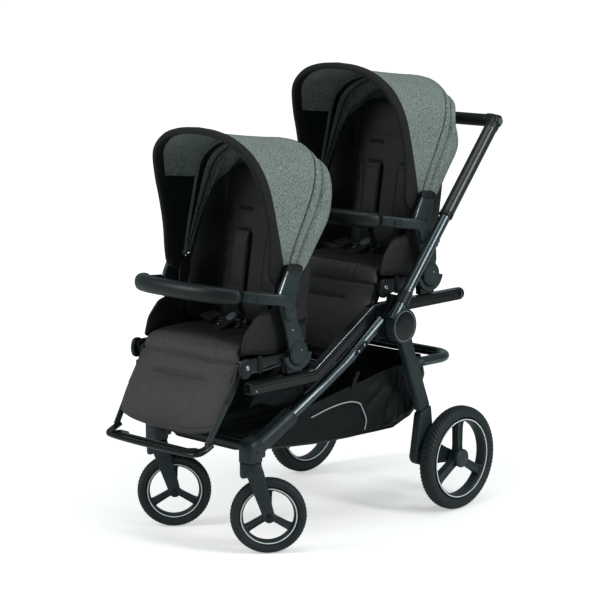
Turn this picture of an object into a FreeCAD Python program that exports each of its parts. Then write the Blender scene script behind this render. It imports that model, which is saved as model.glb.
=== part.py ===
"""Tandem pushchair: two seats one behind the other on a folding four-wheel chassis.

Frame: +Z up, +X to the sitting child's left, -Y forwards. The origin is on the floor, under the
middle of the whole pushchair. Lengths are millimetres. The left side is modelled and the right
side is its mirror; the rear seat is the front seat moved back and up by one step.
"""
import FreeCAD, Part
import math
import os
import Sketcher
from FreeCAD import Placement, Rotation, Vector

os.makedirs("parts", exist_ok=True)
doc = FreeCAD.newDocument("TandemPushchair")
sheet = doc.addObject("Spreadsheet::Sheet", "Sizes")

# ---------------------------------------------------------------------------------------------
# Driving dimensions
# ---------------------------------------------------------------------------------------------
SIZES = [
    # wheels
    ("rear_tyre_radius", 141), ("rear_tyre_width", 42), ("rear_tyre_depth", 34),
    ("rear_wheel_side", 283), ("rear_axle_back", 330), ("rear_hub_radius", 15),
    ("front_tyre_radius", 97), ("front_tyre_width", 36), ("front_tyre_depth", 25),
    ("front_hub_radius", 12), ("rim_wall", 7), ("rim_inset", 4), ("spoke_width", 22),
    ("axle_radius", 6), ("running_gap", 0.05), ("soft_gap", 0.3),
    # casters
    ("caster_side", 173), ("caster_front", 344), ("caster_trail", 44), ("caster_angle", 40),
    ("swivel_height", 235), ("stem_radius", 6), ("housing_radius", 26), ("housing_tall", 58),
    ("fork_wall", 7), ("fork_shoulder", 22),
    # hub and tubes
    ("hub_back", 135), ("hub_height", 524), ("hub_radius", 46), ("drum_radius", 44),
    ("disc_thick", 4), ("tube_side", 245), ("push_radius", 15), ("tube_wall", 1.5),
    ("sleeve_radius", 18), ("socket_wall", 4), ("front_tube_radius", 16), ("collar_wall", 4),
    ("crossbar_radius", 12), ("leg_thick", 24), ("leg_deep", 42), ("pin_radius", 8),
    ("hoop_radius", 13), ("hoop_back", 360), ("hoop_height", 412), ("hoop_corner", 140),
    # handle
    ("handle_back", 515), ("handle_height", 1033), ("grip_radius", 17), ("corner_radius", 19),
    ("button_radius", 9), ("button_travel", 3),
    # rails
    ("rail_side", 200), ("rail_tall", 30), ("rail_wide", 26), ("rail_low", 430),
    ("rail_front", 376), ("rail_bend_front", 147), ("rail_bend_back", 75), ("rail_back", 425),
    # seats: places of the front seat, and the step to the rear one
    ("seat_step_back", 509), ("seat_step_up", 137),
    ("pivot_forward", 215), ("pivot_height", 500.5), ("bar_forward", 252), ("bar_height", 607),
    ("canopy_forward", 242), ("canopy_height", 694), ("leg_forward", 381), ("leg_height", 482),
    ("arm_side", 209.5), ("arm_thick", 12), ("arm_wide", 38), ("arm_disc", 31),
    ("cushion_half", 168), ("cushion_thick", 47), ("back_half", 146), ("back_thick", 28),
    ("back_length", 405), ("back_lean", 8.4), ("back_corner", 90), ("leg_pad_half", 168.6), ("leg_pad_thick", 28),
    ("leg_arm_side", 174), ("leg_arm_thick", 10), ("foot_half", 178), ("pad_radius", 21), ("bar_radius", 12),
    ("bow_half", 170), ("bow_high", 378), ("bow_radius", 6), ("bow_lean", 18),
    ("mid_half", 157), ("mid_high", 362), ("mid_radius", 4), ("mid_lean", 14),
    ("hood_thick", 4), ("small_pin", 5),
    # basket
    ("cloth", 4), ("tub_back", 190), ("tub_half_front", 138), ("tub_half_back", 188),
]
sheet.set("A1", "size")
for row, (alias, number) in enumerate(SIZES, start=2):
    sheet.set("A%d" % row, alias)
    sheet.set("B%d" % row, str(number))
    sheet.setAlias("B%d" % row, alias)
doc.recompute()


class Size:
    """A number read from the sheet together with the expression that gives it."""

    def __init__(self, number, text):
        self.number = float(number)
        self.text = text

    def __add__(self, other):
        return Size(self.number + num(other), "(%s + %s)" % (self.text, words(other)))

    def __sub__(self, other):
        return Size(self.number - num(other), "(%s - %s)" % (self.text, words(other)))

    def __mul__(self, other):
        return Size(self.number * num(other), "(%s * %s)" % (self.text, words(other)))

    def __truediv__(self, other):
        return Size(self.number / num(other), "(%s / %s)" % (self.text, words(other)))

    def __neg__(self):
        return Size(-self.number, "(-1 * %s)" % self.text)

    def __radd__(self, other):
        return self + other

    def __rmul__(self, other):
        return self * other

    def __rsub__(self, other):
        return -self + other


def num(size):
    """The plain number of a size or a number."""
    return size.number if isinstance(size, Size) else float(size)


def words(size):
    """The expression text of a size or a number."""
    return size.text if isinstance(size, Size) else repr(float(size))


class Sheet:
    """Every alias of the sheet as an attribute."""


S = Sheet()
for alias, number in SIZES:
    setattr(S, alias, Size(sheet.get(alias), "Sizes." + alias))

# ---------------------------------------------------------------------------------------------
# Ways of making a piece
# ---------------------------------------------------------------------------------------------
ALONG_X = Rotation(Vector(0, 1, 0), 90)
ALONG_Y = Rotation(Vector(1, 0, 0), -90)
UPRIGHT = Rotation()
NODES = []
count = [0]


def new(kind, stem="shape"):
    """A new object of a kind with a name of its own."""
    count[0] += 1
    return doc.addObject(kind, "%s_%03d" % (stem, count[0]))


def bind(thing, prop, size):
    """Set a property to a size, and tie it to the sheet where the size has an expression."""
    if isinstance(size, Size):
        thing.setExpression(prop, size.text)
    elif not prop.startswith("Placement"):
        setattr(thing, prop, float(size))


def place(thing, at, turn=UPRIGHT):
    """Put a piece at a point given by three sizes."""
    thing.Placement = Placement(Vector(*[num(a) for a in at]), turn)
    for axis, a in zip("xyz", at):
        bind(thing, "Placement.Base." + axis, a)
    return thing


def mirror_x(at, side):
    """A point on the left (side 1) or its mirror on the right (side -1)."""
    return (side * at[0], at[1], at[2])


def cylinder(radius, length, at, turn=UPRIGHT):
    """A cylinder whose base circle is at a point."""
    thing = new("Part::Cylinder", "cylinder")
    bind(thing, "Radius", radius)
    bind(thing, "Height", length)
    return place(thing, at, turn)


def across(radius, x_from, x_to, back, up):
    """A cylinder along X between two places."""
    low, high = (x_from, x_to) if num(x_from) < num(x_to) else (x_to, x_from)
    span = high - low if isinstance(high, Size) or isinstance(low, Size) else float(high - low)
    return cylinder(radius, span, (low, back, up), ALONG_X)


def rod(radius, start, end):
    """A cylinder from one point to another."""
    a = Vector(*[num(v) for v in start])
    b = Vector(*[num(v) for v in end])
    parts = ["(%s - %s)^2" % (words(q), words(p)) for p, q in zip(start, end)]
    length = Size((b - a).Length, "sqrt(%s)" % " + ".join(parts))
    return cylinder(radius, length, start, Rotation(Vector(0, 0, 1), b - a))


def ball(radius, at):
    """A sphere about a point."""
    thing = new("Part::Sphere", "ball")
    bind(thing, "Radius", radius)
    return place(thing, at)


def block(size, corner, turn=UPRIGHT):
    """A box from its lowest corner."""
    thing = new("Part::Box", "block")
    for prop, length in zip(("Length", "Width", "Height"), size):
        bind(thing, prop, length)
    return place(thing, corner, turn)


def fuse(*things):
    """One solid of several."""
    thing = new("Part::MultiFuse", "joined")
    thing.Shapes = list(things)
    return thing


def cut(base, *tools):
    """A solid less one or more others."""
    for tool in tools:
        thing = new("Part::Cut", "cut")
        thing.Base = base
        thing.Tool = tool
        base = thing
    return base


def group(*things):
    """Separate solids that share one node."""
    thing = new("Part::Compound", "group")
    thing.Links = list(things)
    return thing


def rounded(base, radius, picks=None):
    """A solid with a small radius on its straight edges, or on those that a test picks."""
    doc.recompute()
    thing = new("Part::Fillet", "rounded")
    thing.Base = base
    edges = [i for i, e in enumerate(base.Shape.Edges, start=1) if picks is None or picks(e)]
    thing.Edges = [(i, radius, radius) for i in edges]
    return thing


def feature(shape, stem="piece"):
    """A shape computed from the sheet's numbers, as an object of the document."""
    thing = new("Part::Feature", stem)
    thing.Shape = shape
    return thing


def plane_of(body, role):
    """A body's own origin plane."""
    for item in body.Origin.OriginFeatures:
        if item.Role == role:
            return item
    raise ValueError(role)


def outline(body, role, corners):
    """A closed sketch through corners, each corner's two distances tied to the sheet."""
    sketch = body.newObject("Sketcher::SketchObject", body.Name + "_outline")
    sketch.AttachmentSupport = (plane_of(body, role), [""])
    sketch.MapMode = "FlatFace"
    points = [Vector(num(a), num(b), 0) for a, b in corners]
    total = len(points)
    for i in range(total):
        sketch.addGeometry(Part.LineSegment(points[i], points[(i + 1) % total]), False)
    for i in range(total):
        sketch.addConstraint(Sketcher.Constraint("Coincident", i, 2, (i + 1) % total, 1))
    for i, corner in enumerate(corners):
        for kind, axis, size in zip(("DistanceX", "DistanceY"), (-2, -1), corner):
            if abs(num(size)) < 1e-6:
                sketch.addConstraint(Sketcher.Constraint("PointOnObject", i, 1, axis))
                continue
            index = sketch.addConstraint(Sketcher.Constraint(kind, -1, 1, i, 1, num(size)))
            if isinstance(size, Size):
                sketch.setExpression("Constraints[%d]" % index, size.text)
    return sketch


def slab(corners, thick, x_middle):
    """A plate in the YZ plane: an outline of (y, z) corners padded evenly about a place in X."""
    body = new("PartDesign::Body", "plate")
    sketch = outline(body, "YZ_Plane", corners)
    pad = body.newObject("PartDesign::Pad", body.Name + "_pad")
    pad.Profile = sketch
    bind(pad, "Length", thick)
    pad.Midplane = True
    body.Tip = pad
    return place(body, (x_middle, 0.0, 0.0))


def turned(corners, at, turn=UPRIGHT, round_edges=0.0):
    """A ring turned about X: an outline of (x, radius) corners revolved, its outer edges rounded."""
    body = new("PartDesign::Body", "turned")
    sketch = outline(body, "XY_Plane", corners)
    ring = body.newObject("PartDesign::Revolution", body.Name + "_ring")
    ring.Profile = sketch
    ring.ReferenceAxis = (sketch, ["H_Axis"])
    ring.Angle = 360.0
    body.Tip = ring
    if round_edges:
        doc.recompute()
        widest = max(num(r) for x, r in corners)
        edges = []
        for i, edge in enumerate(ring.Shape.Edges, start=1):
            box = edge.BoundBox
            if box.XLength < 1e-6 and box.YMax > 0.97 * widest:
                edges.append("Edge%d" % i)
        soft = body.newObject("PartDesign::Fillet", body.Name + "_soft")
        soft.Base = (ring, edges)
        soft.Radius = round_edges
        body.Tip = soft
    return place(body, at, turn)


def bent_path(points, bend):
    """Straight runs through points, joined by tangent arcs."""
    spots = [Vector(*[num(v) for v in p]) for p in points]
    edges = []
    start = spots[0]
    for before, here, after in zip(spots, spots[1:], spots[2:]):
        to_before = (before - here).normalize()
        to_after = (after - here).normalize()
        half = to_before.getAngle(to_after) / 2
        longest = 0.45 * min((before - here).Length, (after - here).Length)
        reach = min(bend / math.tan(half), longest)
        radius = reach * math.tan(half)
        first = here + to_before * reach
        last = here + to_after * reach
        middle_way = (to_before + to_after).normalize()
        centre = here + middle_way * (radius / math.sin(half))
        middle = centre - middle_way * radius
        if (first - start).Length > 1e-6:
            edges.append(Part.LineSegment(start, first).toShape())
        edges.append(Part.Arc(first, middle, last).toShape())
        start = last
    edges.append(Part.LineSegment(start, spots[-1]).toShape())
    return Part.Wire(edges)


def swept(path, radius):
    """A round bar along a path."""
    start = path.Edges[0]
    ring = Part.Wire(Part.Circle(start.valueAt(start.FirstParameter),
                                 start.tangentAt(start.FirstParameter), radius).toShape())
    return path.makePipeShell([ring], True, False)


def bent_tube(points, radius, wall, bend):
    """A tube through points, with a bore where a wall is given."""
    path = bent_path(points, num(bend))
    tube = swept(path, num(radius))
    if wall is not None:
        tube = tube.cut(swept(path, num(radius) - num(wall)))
    return tube


def node(name, thing):
    """Name a sub-part: the label is its file's name."""
    thing.Label = name
    NODES.append(thing)
    return thing


def side_name(side):
    return "left" if side > 0 else "right"


# ---------------------------------------------------------------------------------------------
# Wheels
# ---------------------------------------------------------------------------------------------
def wheel(prefix, suffix, radius, width, depth, hub_radius, hub_half, at, turn):
    """A tyre and a three-spoke rim about the local X axis."""
    half = width / 2
    inner = radius - depth
    shoulder = radius - width / 6
    tyre = turned([(-half, inner), (half, inner), (half, shoulder), (half * 0.62, radius),
                   (-half * 0.62, radius), (-half, shoulder)], at, turn, 4.0)
    node("%s_tyre_%s" % (prefix, suffix), tyre)
    lip = half - S.rim_inset
    well = inner - S.rim_wall
    band = turned([(-lip, well), (lip, well), (lip, inner - S.running_gap),
                   (-lip, inner - S.running_gap)], (0.0, 0.0, 0.0))
    boss = cylinder(hub_radius, hub_half * 2, (-hub_half, 0.0, 0.0), ALONG_X)
    parts = [band, boss]
    for step in range(3):
        arm = block((lip * 1.2, S.spoke_width, well + 2), (0.0, 0.0, 0.0))
        swing = Rotation(Vector(1, 0, 0), 120 * step)
        offset = swing.multVec(Vector(-num(lip) * 0.6, -num(S.spoke_width) / 2, 0))
        arm.Placement = Placement(offset, swing)
        parts.append(arm)
    solid = fuse(*parts)
    bore = cylinder(S.axle_radius + S.running_gap, hub_half * 2 + 2,
                    (-hub_half - 1, 0.0, 0.0), ALONG_X)
    rim = cut(solid, bore)
    node("%s_rim_%s" % (prefix, suffix), place(rim, at, turn))


for side in (1, -1):
    wheel("rear", side_name(side), S.rear_tyre_radius, S.rear_tyre_width, S.rear_tyre_depth,
          S.rear_hub_radius, S.rear_tyre_width / 2 - 2,
          (side * S.rear_wheel_side, S.rear_axle_back, S.rear_tyre_radius), UPRIGHT)

# ---------------------------------------------------------------------------------------------
# Casters: the local Y axis trails, the local X axis is the wheel's axle
# ---------------------------------------------------------------------------------------------
def caster_fork():
    """The stem, crown, shoulder caps and two arms of one fork, with its axle, about the stem."""
    inner = S.front_tyre_width / 2 + 2
    outer = inner + S.fork_wall
    top = S.swivel_height - 1
    axle_up = S.front_tyre_radius
    crown_low = axle_up + S.front_tyre_radius + 9
    crown = block((outer * 2 - 2, S.housing_radius * 2, top - crown_low),
                  (-outer + 1, -S.housing_radius, crown_low))
    stem = cylinder(S.stem_radius, S.housing_tall - 8, (0.0, 0.0, top - 2))
    cap_up = top - S.fork_shoulder - 1
    caps = [across(S.fork_shoulder, side * (inner + 1), side * (outer + 2), 9.0, cap_up)
            for side in (1, -1)]
    corners = [(-20.0, top - 4), (24.0, top - 4), (S.caster_trail + 16, axle_up + 4),
               (S.caster_trail + 10, axle_up - 14), (S.caster_trail - 10, axle_up - 14),
               (S.caster_trail - 16, axle_up + 2)]
    arms = [slab(corners, S.fork_wall, s * (inner + S.fork_wall / 2)) for s in (1, -1)]
    hole = across(S.axle_radius, -outer - 3, outer + 3, S.caster_trail, axle_up)
    fork = cut(fuse(crown, stem, *caps, *arms), hole)
    axle = fuse(across(S.axle_radius - S.running_gap, -outer, outer, S.caster_trail, axle_up),
                across(9.0, outer, outer + 3, S.caster_trail, axle_up),
                across(9.0, -outer - 3, -outer, S.caster_trail, axle_up))
    return group(fork, axle)


swing_back = math.radians(num(S.caster_angle))
for side in (1, -1):
    turn = Rotation(Vector(0, 0, 1), -num(S.caster_angle))
    stem_at = (side * S.caster_side, -S.caster_front, 0.0)
    node("caster_fork_" + side_name(side), place(caster_fork(), stem_at, turn))
    centre = (side * S.caster_side + S.caster_trail * math.sin(swing_back),
              -S.caster_front + S.caster_trail * math.cos(swing_back), S.front_tyre_radius)
    wheel("front", side_name(side), S.front_tyre_radius, S.front_tyre_width, S.front_tyre_depth,
          S.front_hub_radius, S.front_tyre_width / 2, centre, turn)

# ---------------------------------------------------------------------------------------------
# Chassis sides
# ---------------------------------------------------------------------------------------------
SLEEVE_END = (176.0, -205.0, 330.0)
TUBE_BEND = (185.0, -105.0, 389.0)
TUBE_RISE = (197.0, -30.0, 441.0)
TUBE_TOP = (212.0, 96.0, 539.0)
SOCKET_FLAT = 80.0
rail_high = S.rail_low + S.seat_step_up
push_way = Vector(0, num(S.handle_back) - 144, num(S.handle_height) - 591).normalize()


def on_push_tube(side, along):
    """A point on the push tube's axis, so far above the point where it leaves the hub."""
    return (side * S.tube_side, S.hub_back + 9 + push_way.y * along,
            S.hub_height + 67 + push_way.z * along)


def front_tube(side):
    """The gently bent tube from the caster housing up to the hub."""
    low = Vector(*SLEEVE_END)
    start = low - (Vector(*TUBE_BEND) - low).normalize() * 25
    points = [tuple(start), TUBE_BEND, TUBE_RISE, TUBE_TOP]
    points = [mirror_x(p, side) for p in points]
    return feature(bent_tube(points, S.front_tube_radius, S.tube_wall, 400), "front_tube")


def front_casting(side):
    """The caster housing with the collar that the front tube stands in."""
    top = S.swivel_height + S.housing_tall
    post = cylinder(S.housing_radius, S.housing_tall,
                    (side * S.caster_side, -S.caster_front, S.swivel_height))
    collar = rod(S.front_tube_radius + S.collar_wall,
                 (side * S.caster_side, -S.caster_front + 14, top - 26),
                 mirror_x(SLEEVE_END, side))
    shoe = block((40.0, 46.0, S.housing_tall - 24),
                 (side * S.caster_side - 20, -S.caster_front, S.swivel_height + 6))
    bore = cylinder(S.stem_radius + S.running_gap, S.housing_tall - 6,
                    (side * S.caster_side, -S.caster_front, S.swivel_height - 1))
    low = Vector(*mirror_x(SLEEVE_END, side))
    way = (Vector(*mirror_x(TUBE_BEND, side)) - low).normalize()
    tube_room = rod(S.front_tube_radius + S.running_gap, tuple(low - way * 25.1),
                    tuple(low + way * 20))
    floor_cut = block((90.0, 120.0, 40.0),
                      (side * S.caster_side - 45, -S.caster_front - 40, S.swivel_height - 40))
    return cut(fuse(post, collar, shoe), bore, tube_room, floor_cut)


def hub_casting(side):
    """The inner plate of the hub, the rail's seat, the push tube's socket and the fold pin."""
    rail_face = S.rail_side + S.rail_wide / 2
    plate_in = rail_face + S.soft_gap
    leg_in = S.tube_side - S.leg_thick / 2 - 3
    plate = across(S.drum_radius, side * plate_in, side * (leg_in - 1), S.hub_back, S.hub_height)
    middle = (plate_in + leg_in - 1) / 2
    web = slab([(S.hub_back - 30, S.hub_height + 20), (S.hub_back + 34, S.hub_height + 12),
                (S.hub_back + 48, S.hub_height + 66), (S.hub_back - 16, S.hub_height + 84)],
               leg_in - 1 - plate_in, side * middle)
    low = rail_high - S.rail_tall / 2
    seat_deep = S.hub_back + 40 - SOCKET_FLAT
    inside = S.rail_side - S.rail_wide / 2 + 4
    seat = block((plate_in - inside + 1, seat_deep, low - S.hub_height + 36),
                 (side * (plate_in + inside + 1) / 2 - (plate_in - inside + 1) / 2,
                  SOCKET_FLAT, S.hub_height - 36))
    socket = rod(S.push_radius + S.socket_wall, on_push_tube(side, -12), on_push_tube(side, 22))
    pin = across(S.pin_radius, side * (leg_in - 2), side * (S.tube_side + S.leg_thick / 2 + 1.5),
                 S.hub_back, S.hub_height)
    tube_room = rod(S.push_radius + S.running_gap, on_push_tube(side, -8), on_push_tube(side, 30))
    end = Vector(*mirror_x(TUBE_TOP, side))
    before = Vector(*mirror_x(TUBE_RISE, side))
    way = (end - before).normalize()
    front_room = rod(S.front_tube_radius + S.running_gap, tuple(end - way * 60),
                     tuple(end + way * 0.1))
    return cut(fuse(plate, web, seat, socket, pin), tube_room, front_room)


def rail(side):
    """The bent seat rail, its outline following the two level stretches and the slope."""
    run = S.rail_bend_front + S.rail_bend_back
    half = S.rail_tall / 2
    slope = math.atan2(num(S.seat_step_up), num(run))
    shift = half * math.tan(slope / 2)
    front, back = -S.rail_front, S.rail_back
    low, high = S.rail_low, rail_high
    corners = [(front, low - half), (-S.rail_bend_front + shift, low - half),
               (S.rail_bend_back + shift, high - half), (back, high - half),
               (back, high + half), (S.rail_bend_back - shift, high + half),
               (-S.rail_bend_front - shift, low + half), (front, low + half)]
    return slab(corners, S.rail_wide, side * S.rail_side)


for side in (1, -1):
    name = side_name(side)
    node("front_tube_" + name, front_tube(side))
    node("front_casting_" + name, front_casting(side))
    node("hub_casting_" + name, hub_casting(side))
    node("rail_" + name, rail(side))

discs = []
caps = []
pushes = []
for side in (1, -1):
    face = S.tube_side + S.leg_thick / 2 + 1.5
    discs.append(across(S.hub_radius, side * face, side * (face + S.disc_thick),
                        S.hub_back, S.hub_height))
    caps.append(cylinder(S.rail_tall / 2 + 1.5, 10.0, (side * S.rail_side, S.rail_back, rail_high),
                         ALONG_Y))
    caps.append(block((S.rail_wide - 2, 3.0, S.rail_tall - 2),
                      (side * S.rail_side - S.rail_wide / 2 + 1, -S.rail_front - 3,
                       S.rail_low - S.rail_tall / 2 + 1)))
    outer = rod(S.push_radius, on_push_tube(side, -7.9), on_push_tube(side, 405))
    inner = rod(S.push_radius - S.tube_wall, on_push_tube(side, -9), on_push_tube(side, 406))
    pushes.append(cut(outer, inner))
node("hub_discs", group(*discs))
node("rail_caps", group(*caps))
node("push_tubes", group(*pushes))

inside_housing = S.caster_side - S.housing_radius + 1
bar = across(11.0, -inside_housing, inside_housing, -S.caster_front, S.swivel_height + 40)
trim = [cylinder(S.housing_radius + S.soft_gap / 3, 80.0,
                 (s * S.caster_side, -S.caster_front, S.swivel_height)) for s in (1, -1)]
node("front_crossbar", cut(bar, *trim))
bridge_half = S.rail_side - S.rail_wide / 2 + 4
node("hub_crossbar", across(S.crossbar_radius, -bridge_half, bridge_half,
                            S.hub_back + 15, S.hub_height - 20))

# ---------------------------------------------------------------------------------------------
# Handle: sleeves that slide on the push tubes, corners, the grip and the height buttons
# ---------------------------------------------------------------------------------------------
sleeves = []
corners = []
corner_at = 577.0
for side in (1, -1):
    outer = rod(S.sleeve_radius, on_push_tube(side, 266), on_push_tube(side, corner_at - 21))
    inner = rod(S.push_radius + S.running_gap, on_push_tube(side, 265),
                on_push_tube(side, corner_at - 20))
    sleeves.append(cut(outer, inner))
    top = (side * S.tube_side, S.handle_back, S.handle_height)
    grip_end = side * (S.tube_side - 20)
    corner = fuse(rod(S.corner_radius, on_push_tube(side, corner_at - 21), top),
                  ball(S.corner_radius, top),
                  across(S.corner_radius, side * S.tube_side, grip_end, S.handle_back,
                         S.handle_height))
    pocket = across(S.button_radius + 0.15, side * (S.tube_side + 6), side * (S.tube_side + 40),
                    S.handle_back, S.handle_height)
    corners.append(cut(corner, pocket))
    node("height_button_" + side_name(side),
         across(S.button_radius, side * (S.tube_side + 6 + S.button_travel + 0.5),
                side * (S.tube_side + S.corner_radius + 3), S.handle_back, S.handle_height))
node("handle_sleeves", group(*sleeves))
node("handle_corners", group(*corners))
node("handle_grip", across(S.grip_radius, -S.tube_side + 20, S.tube_side - 20, S.handle_back,
                           S.handle_height))

# ---------------------------------------------------------------------------------------------
# Rear legs, feet with stub axles, the basket's hoop and the brake pedal
# ---------------------------------------------------------------------------------------------
LEG_END = (94.0, -237.0)
leg_way = Vector(0, LEG_END[0], LEG_END[1]).normalize()
leg_side = Vector(0, -leg_way.z, leg_way.y)


def leg_corner(along, aside):
    """A point in the leg's own directions, as distances back and up from the hub."""
    spot = leg_way * along + leg_side * aside
    return (S.hub_back + spot.y, S.hub_height + spot.z)


leg_long = math.hypot(*LEG_END)


def rear_leg(side):
    """The drum that turns on the fold pin, the flat leg and the boss for the hoop."""
    half = num(S.leg_deep) / 2
    drum = across(S.drum_radius, side * (S.tube_side - S.leg_thick / 2 - 2.5),
                  side * (S.tube_side + S.leg_thick / 2 + 1), S.hub_back, S.hub_height)
    flat = slab([leg_corner(20, half), leg_corner(20, -half), leg_corner(leg_long, -half),
                 leg_corner(leg_long, half)], S.leg_thick, side * S.tube_side)
    boss = rod(S.hoop_radius - 1, (side * S.tube_side, S.hub_back + 50, S.hoop_height + 3),
               (side * S.tube_side, S.hub_back + 77, S.hoop_height + 3))
    hole = across(S.pin_radius + S.running_gap, side * (S.tube_side - 30),
                  side * (S.tube_side + 30), S.hub_back, S.hub_height)
    return cut(fuse(drum, flat, boss), hole)


def foot(side):
    """The casting from the leg's end down to the brake boss and back to the axle."""
    half = num(S.leg_deep) / 2 + 4
    up = S.rear_tyre_radius
    back = S.rear_axle_back
    corners = [leg_corner(leg_long, half), leg_corner(leg_long, -half), (back - 66, up + 58),
               (back - 8, up + 21), (back + 14, up + 13), (back + 19, up), (back + 12, up - 14),
               (back - 4, up - 18), (back - 108, up - 7), (back - 128, up - 3),
               (back - 140, up + 8), (back - 143, up + 22)]
    flat = slab(corners, S.leg_thick + 2, side * S.tube_side)
    if side < 0:
        peg = across(S.axle_radius, -(S.tube_side - S.leg_thick / 2) - 1,
                     -(S.tube_side - S.leg_thick / 2) + 28, back - 118, up + 18)
        flat = fuse(flat, peg)
    face = S.tube_side + S.leg_thick / 2 + 1
    axle = across(S.axle_radius, side * face, side * (S.rear_wheel_side + 23), back, up)
    return group(flat, axle)


def brake_pedal():
    """The pedal on the right foot's inner side: its boss, arm and tread."""
    back, up = S.rear_axle_back - 118, S.rear_tyre_radius + 18
    near = -(S.tube_side - S.leg_thick / 2) + 1.5
    boss = across(14.0, near, near + 22, back, up)
    arm = slab([(back - 4, up + 6), (back + 4, up - 8), (back + 92, up + 22), (back + 90, up + 32),
                (back + 58, up + 34)], 20.0, near + 11)
    hole = across(S.axle_radius + S.running_gap, near - 2, near + 30, back, up)
    return cut(fuse(boss, arm), hole)


for side in (1, -1):
    node("rear_leg_" + side_name(side), rear_leg(side))
    node("rear_foot_" + side_name(side), foot(side))
hoop_start = num(S.hub_back) + 77
hoop_points = [(num(S.tube_side), hoop_start, num(S.hoop_height) + 3),
               (num(S.tube_side), num(S.hoop_back), num(S.hoop_height)),
               (-num(S.tube_side), num(S.hoop_back), num(S.hoop_height)),
               (-num(S.tube_side), hoop_start, num(S.hoop_height) + 3)]
node("basket_hoop", feature(bent_tube(hoop_points, S.hoop_radius, S.tube_wall, S.hoop_corner)))
node("brake_pedal", brake_pedal())

# ---------------------------------------------------------------------------------------------
# Basket: a cloth tub between the tubes, and the rear panel that hangs from the hoop
# ---------------------------------------------------------------------------------------------
def frame_at(back, half, low, high):
    """A closed rectangle across the pushchair at one place along it."""
    points = [Vector(-half, back, low), Vector(half, back, low), Vector(half, back, high),
              Vector(-half, back, high), Vector(-half, back, low)]
    return Part.makePolygon(points)


def basket_tub():
    """A tapered open tub, deeper and wider towards the back."""
    wall = num(S.cloth)
    front = -num(S.caster_front) + 11 + num(S.soft_gap)
    back = num(S.tub_back)
    middle = -90.0
    wide = (num(S.tub_half_front), 172.0, num(S.tub_half_back))
    low = (250.0, 231.0, 221.0)
    high = (288.0, 348.0, 398.0)
    places = (front, middle, back)
    outer = Part.makeLoft([frame_at(y, w, a, b) for y, w, a, b in zip(places, wide, low, high)],
                          True, True)
    inner_places = (front + wall, middle, back - wall)
    inner = Part.makeLoft([frame_at(y, w - wall, a + wall, b + 30)
                           for y, w, a, b in zip(inner_places, wide, low, high)], True, True)
    return outer.cut(inner)


def basket_panel():
    """The back and side cloth between the tub and the hoop."""
    wall = num(S.cloth)
    start = num(S.tub_back) + 1
    top = num(S.hoop_height) - num(S.hoop_radius) - num(S.soft_gap)
    middle = num(S.hoop_back) - 88
    back = num(S.hoop_back) - 6
    wide = (num(S.tub_half_back), num(S.tub_half_back) + 4, num(S.tube_side) - 92)
    low = (223.0, 256.0, 291.0)
    places = (start, middle, back)
    outer = Part.makeLoft([frame_at(y, w, a, top) for y, w, a in zip(places, wide, low)],
                          True, True)
    inner_places = (start - 1, middle, back - wall)
    inner = Part.makeLoft([frame_at(y, w - wall, a + wall, top + 20)
                           for y, w, a in zip(inner_places, wide, low)], True, True)
    return outer.cut(inner)


node("basket_tub", feature(basket_tub()))
node("basket_panel", feature(basket_panel()))

# ---------------------------------------------------------------------------------------------
# Seats
# ---------------------------------------------------------------------------------------------
class Seat:
    """Where one seat's pivots are."""

    def __init__(self, name, step):
        self.name = name
        self.dy = S.seat_step_back * step
        self.dz = S.seat_step_up * step
        self.pivot = (self.dy - S.pivot_forward, self.dz + S.pivot_height)
        self.bar = (self.dy - S.bar_forward, self.dz + S.bar_height)
        self.canopy = (self.dy - S.canopy_forward, self.dz + S.canopy_height)
        self.leg = (self.dy - S.leg_forward, self.dz + S.leg_height)

    def at(self, y, z):
        """A point of the front seat, moved to this seat."""
        return (self.dy + y, self.dz + z)


def seat_frame(seat):
    """The pan, side bars, cupped feet on the rails, and the pins of the arms and leg rest."""
    back, up = seat.pivot
    bar_in = S.rail_side - 13
    pan = block((bar_in * 2, 186.0, 6.0), (-bar_in, back - 140, up - 16))
    parts = [pan]
    for side in (1, -1):
        side_bar = slab([(seat.leg[0] + 4, seat.leg[1] - 8), (back + 20, up - 14),
                         (back + 20, up + 6), (seat.leg[0] + 10, seat.leg[1] + 12),
                         (seat.leg[0] - 6, seat.leg[1] + 10)], 12.0, side * (S.rail_side - 7))
        knuckle = across(12.0, side * (S.rail_side - 13), side * (S.rail_side - 1), *seat.leg)
        foot_low = S.rail_low + S.rail_tall / 2 + seat.dz
        cup = slab([(back - 30, foot_low), (back + 22, foot_low), (back + 50, up - 34),
                    (back + 54, up + 4), (back - 54, up + 4), (back - 50, up - 34)],
                   14.0, side * (S.rail_side + 5))
        cup = cut(cup, across(S.arm_disc + 1.5, side * (S.rail_side - 3),
                              side * (S.rail_side + 20), back, up))
        web = slab([(back - 30, foot_low), (back + 22, foot_low), (back + 20, up - 9),
                    (back - 30, up - 9)], 14.0, side * (S.rail_side - 6))
        arm_pin = across(S.small_pin + 1, side * (S.rail_side - 1),
                         side * (S.arm_side + S.arm_thick / 2 + 4), back, up)
        leg_pin = across(S.small_pin, side * (S.leg_arm_side - 7), side * (S.rail_side - 12),
                         *seat.leg)
        parts += [side_bar, knuckle, cup, web, arm_pin, leg_pin]
    return fuse(*parts)


def seat_cushion(seat):
    """The seat pad."""
    back, up = seat.pivot
    pad = block((S.cushion_half * 2, 189.0, S.cushion_thick),
                (-S.cushion_half, back - 146, up - 10 + S.soft_gap))
    return rounded(pad, 16.0, lambda e: e.BoundBox.ZMin > num(up) - 10 + num(S.cushion_thick) - 1)


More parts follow.
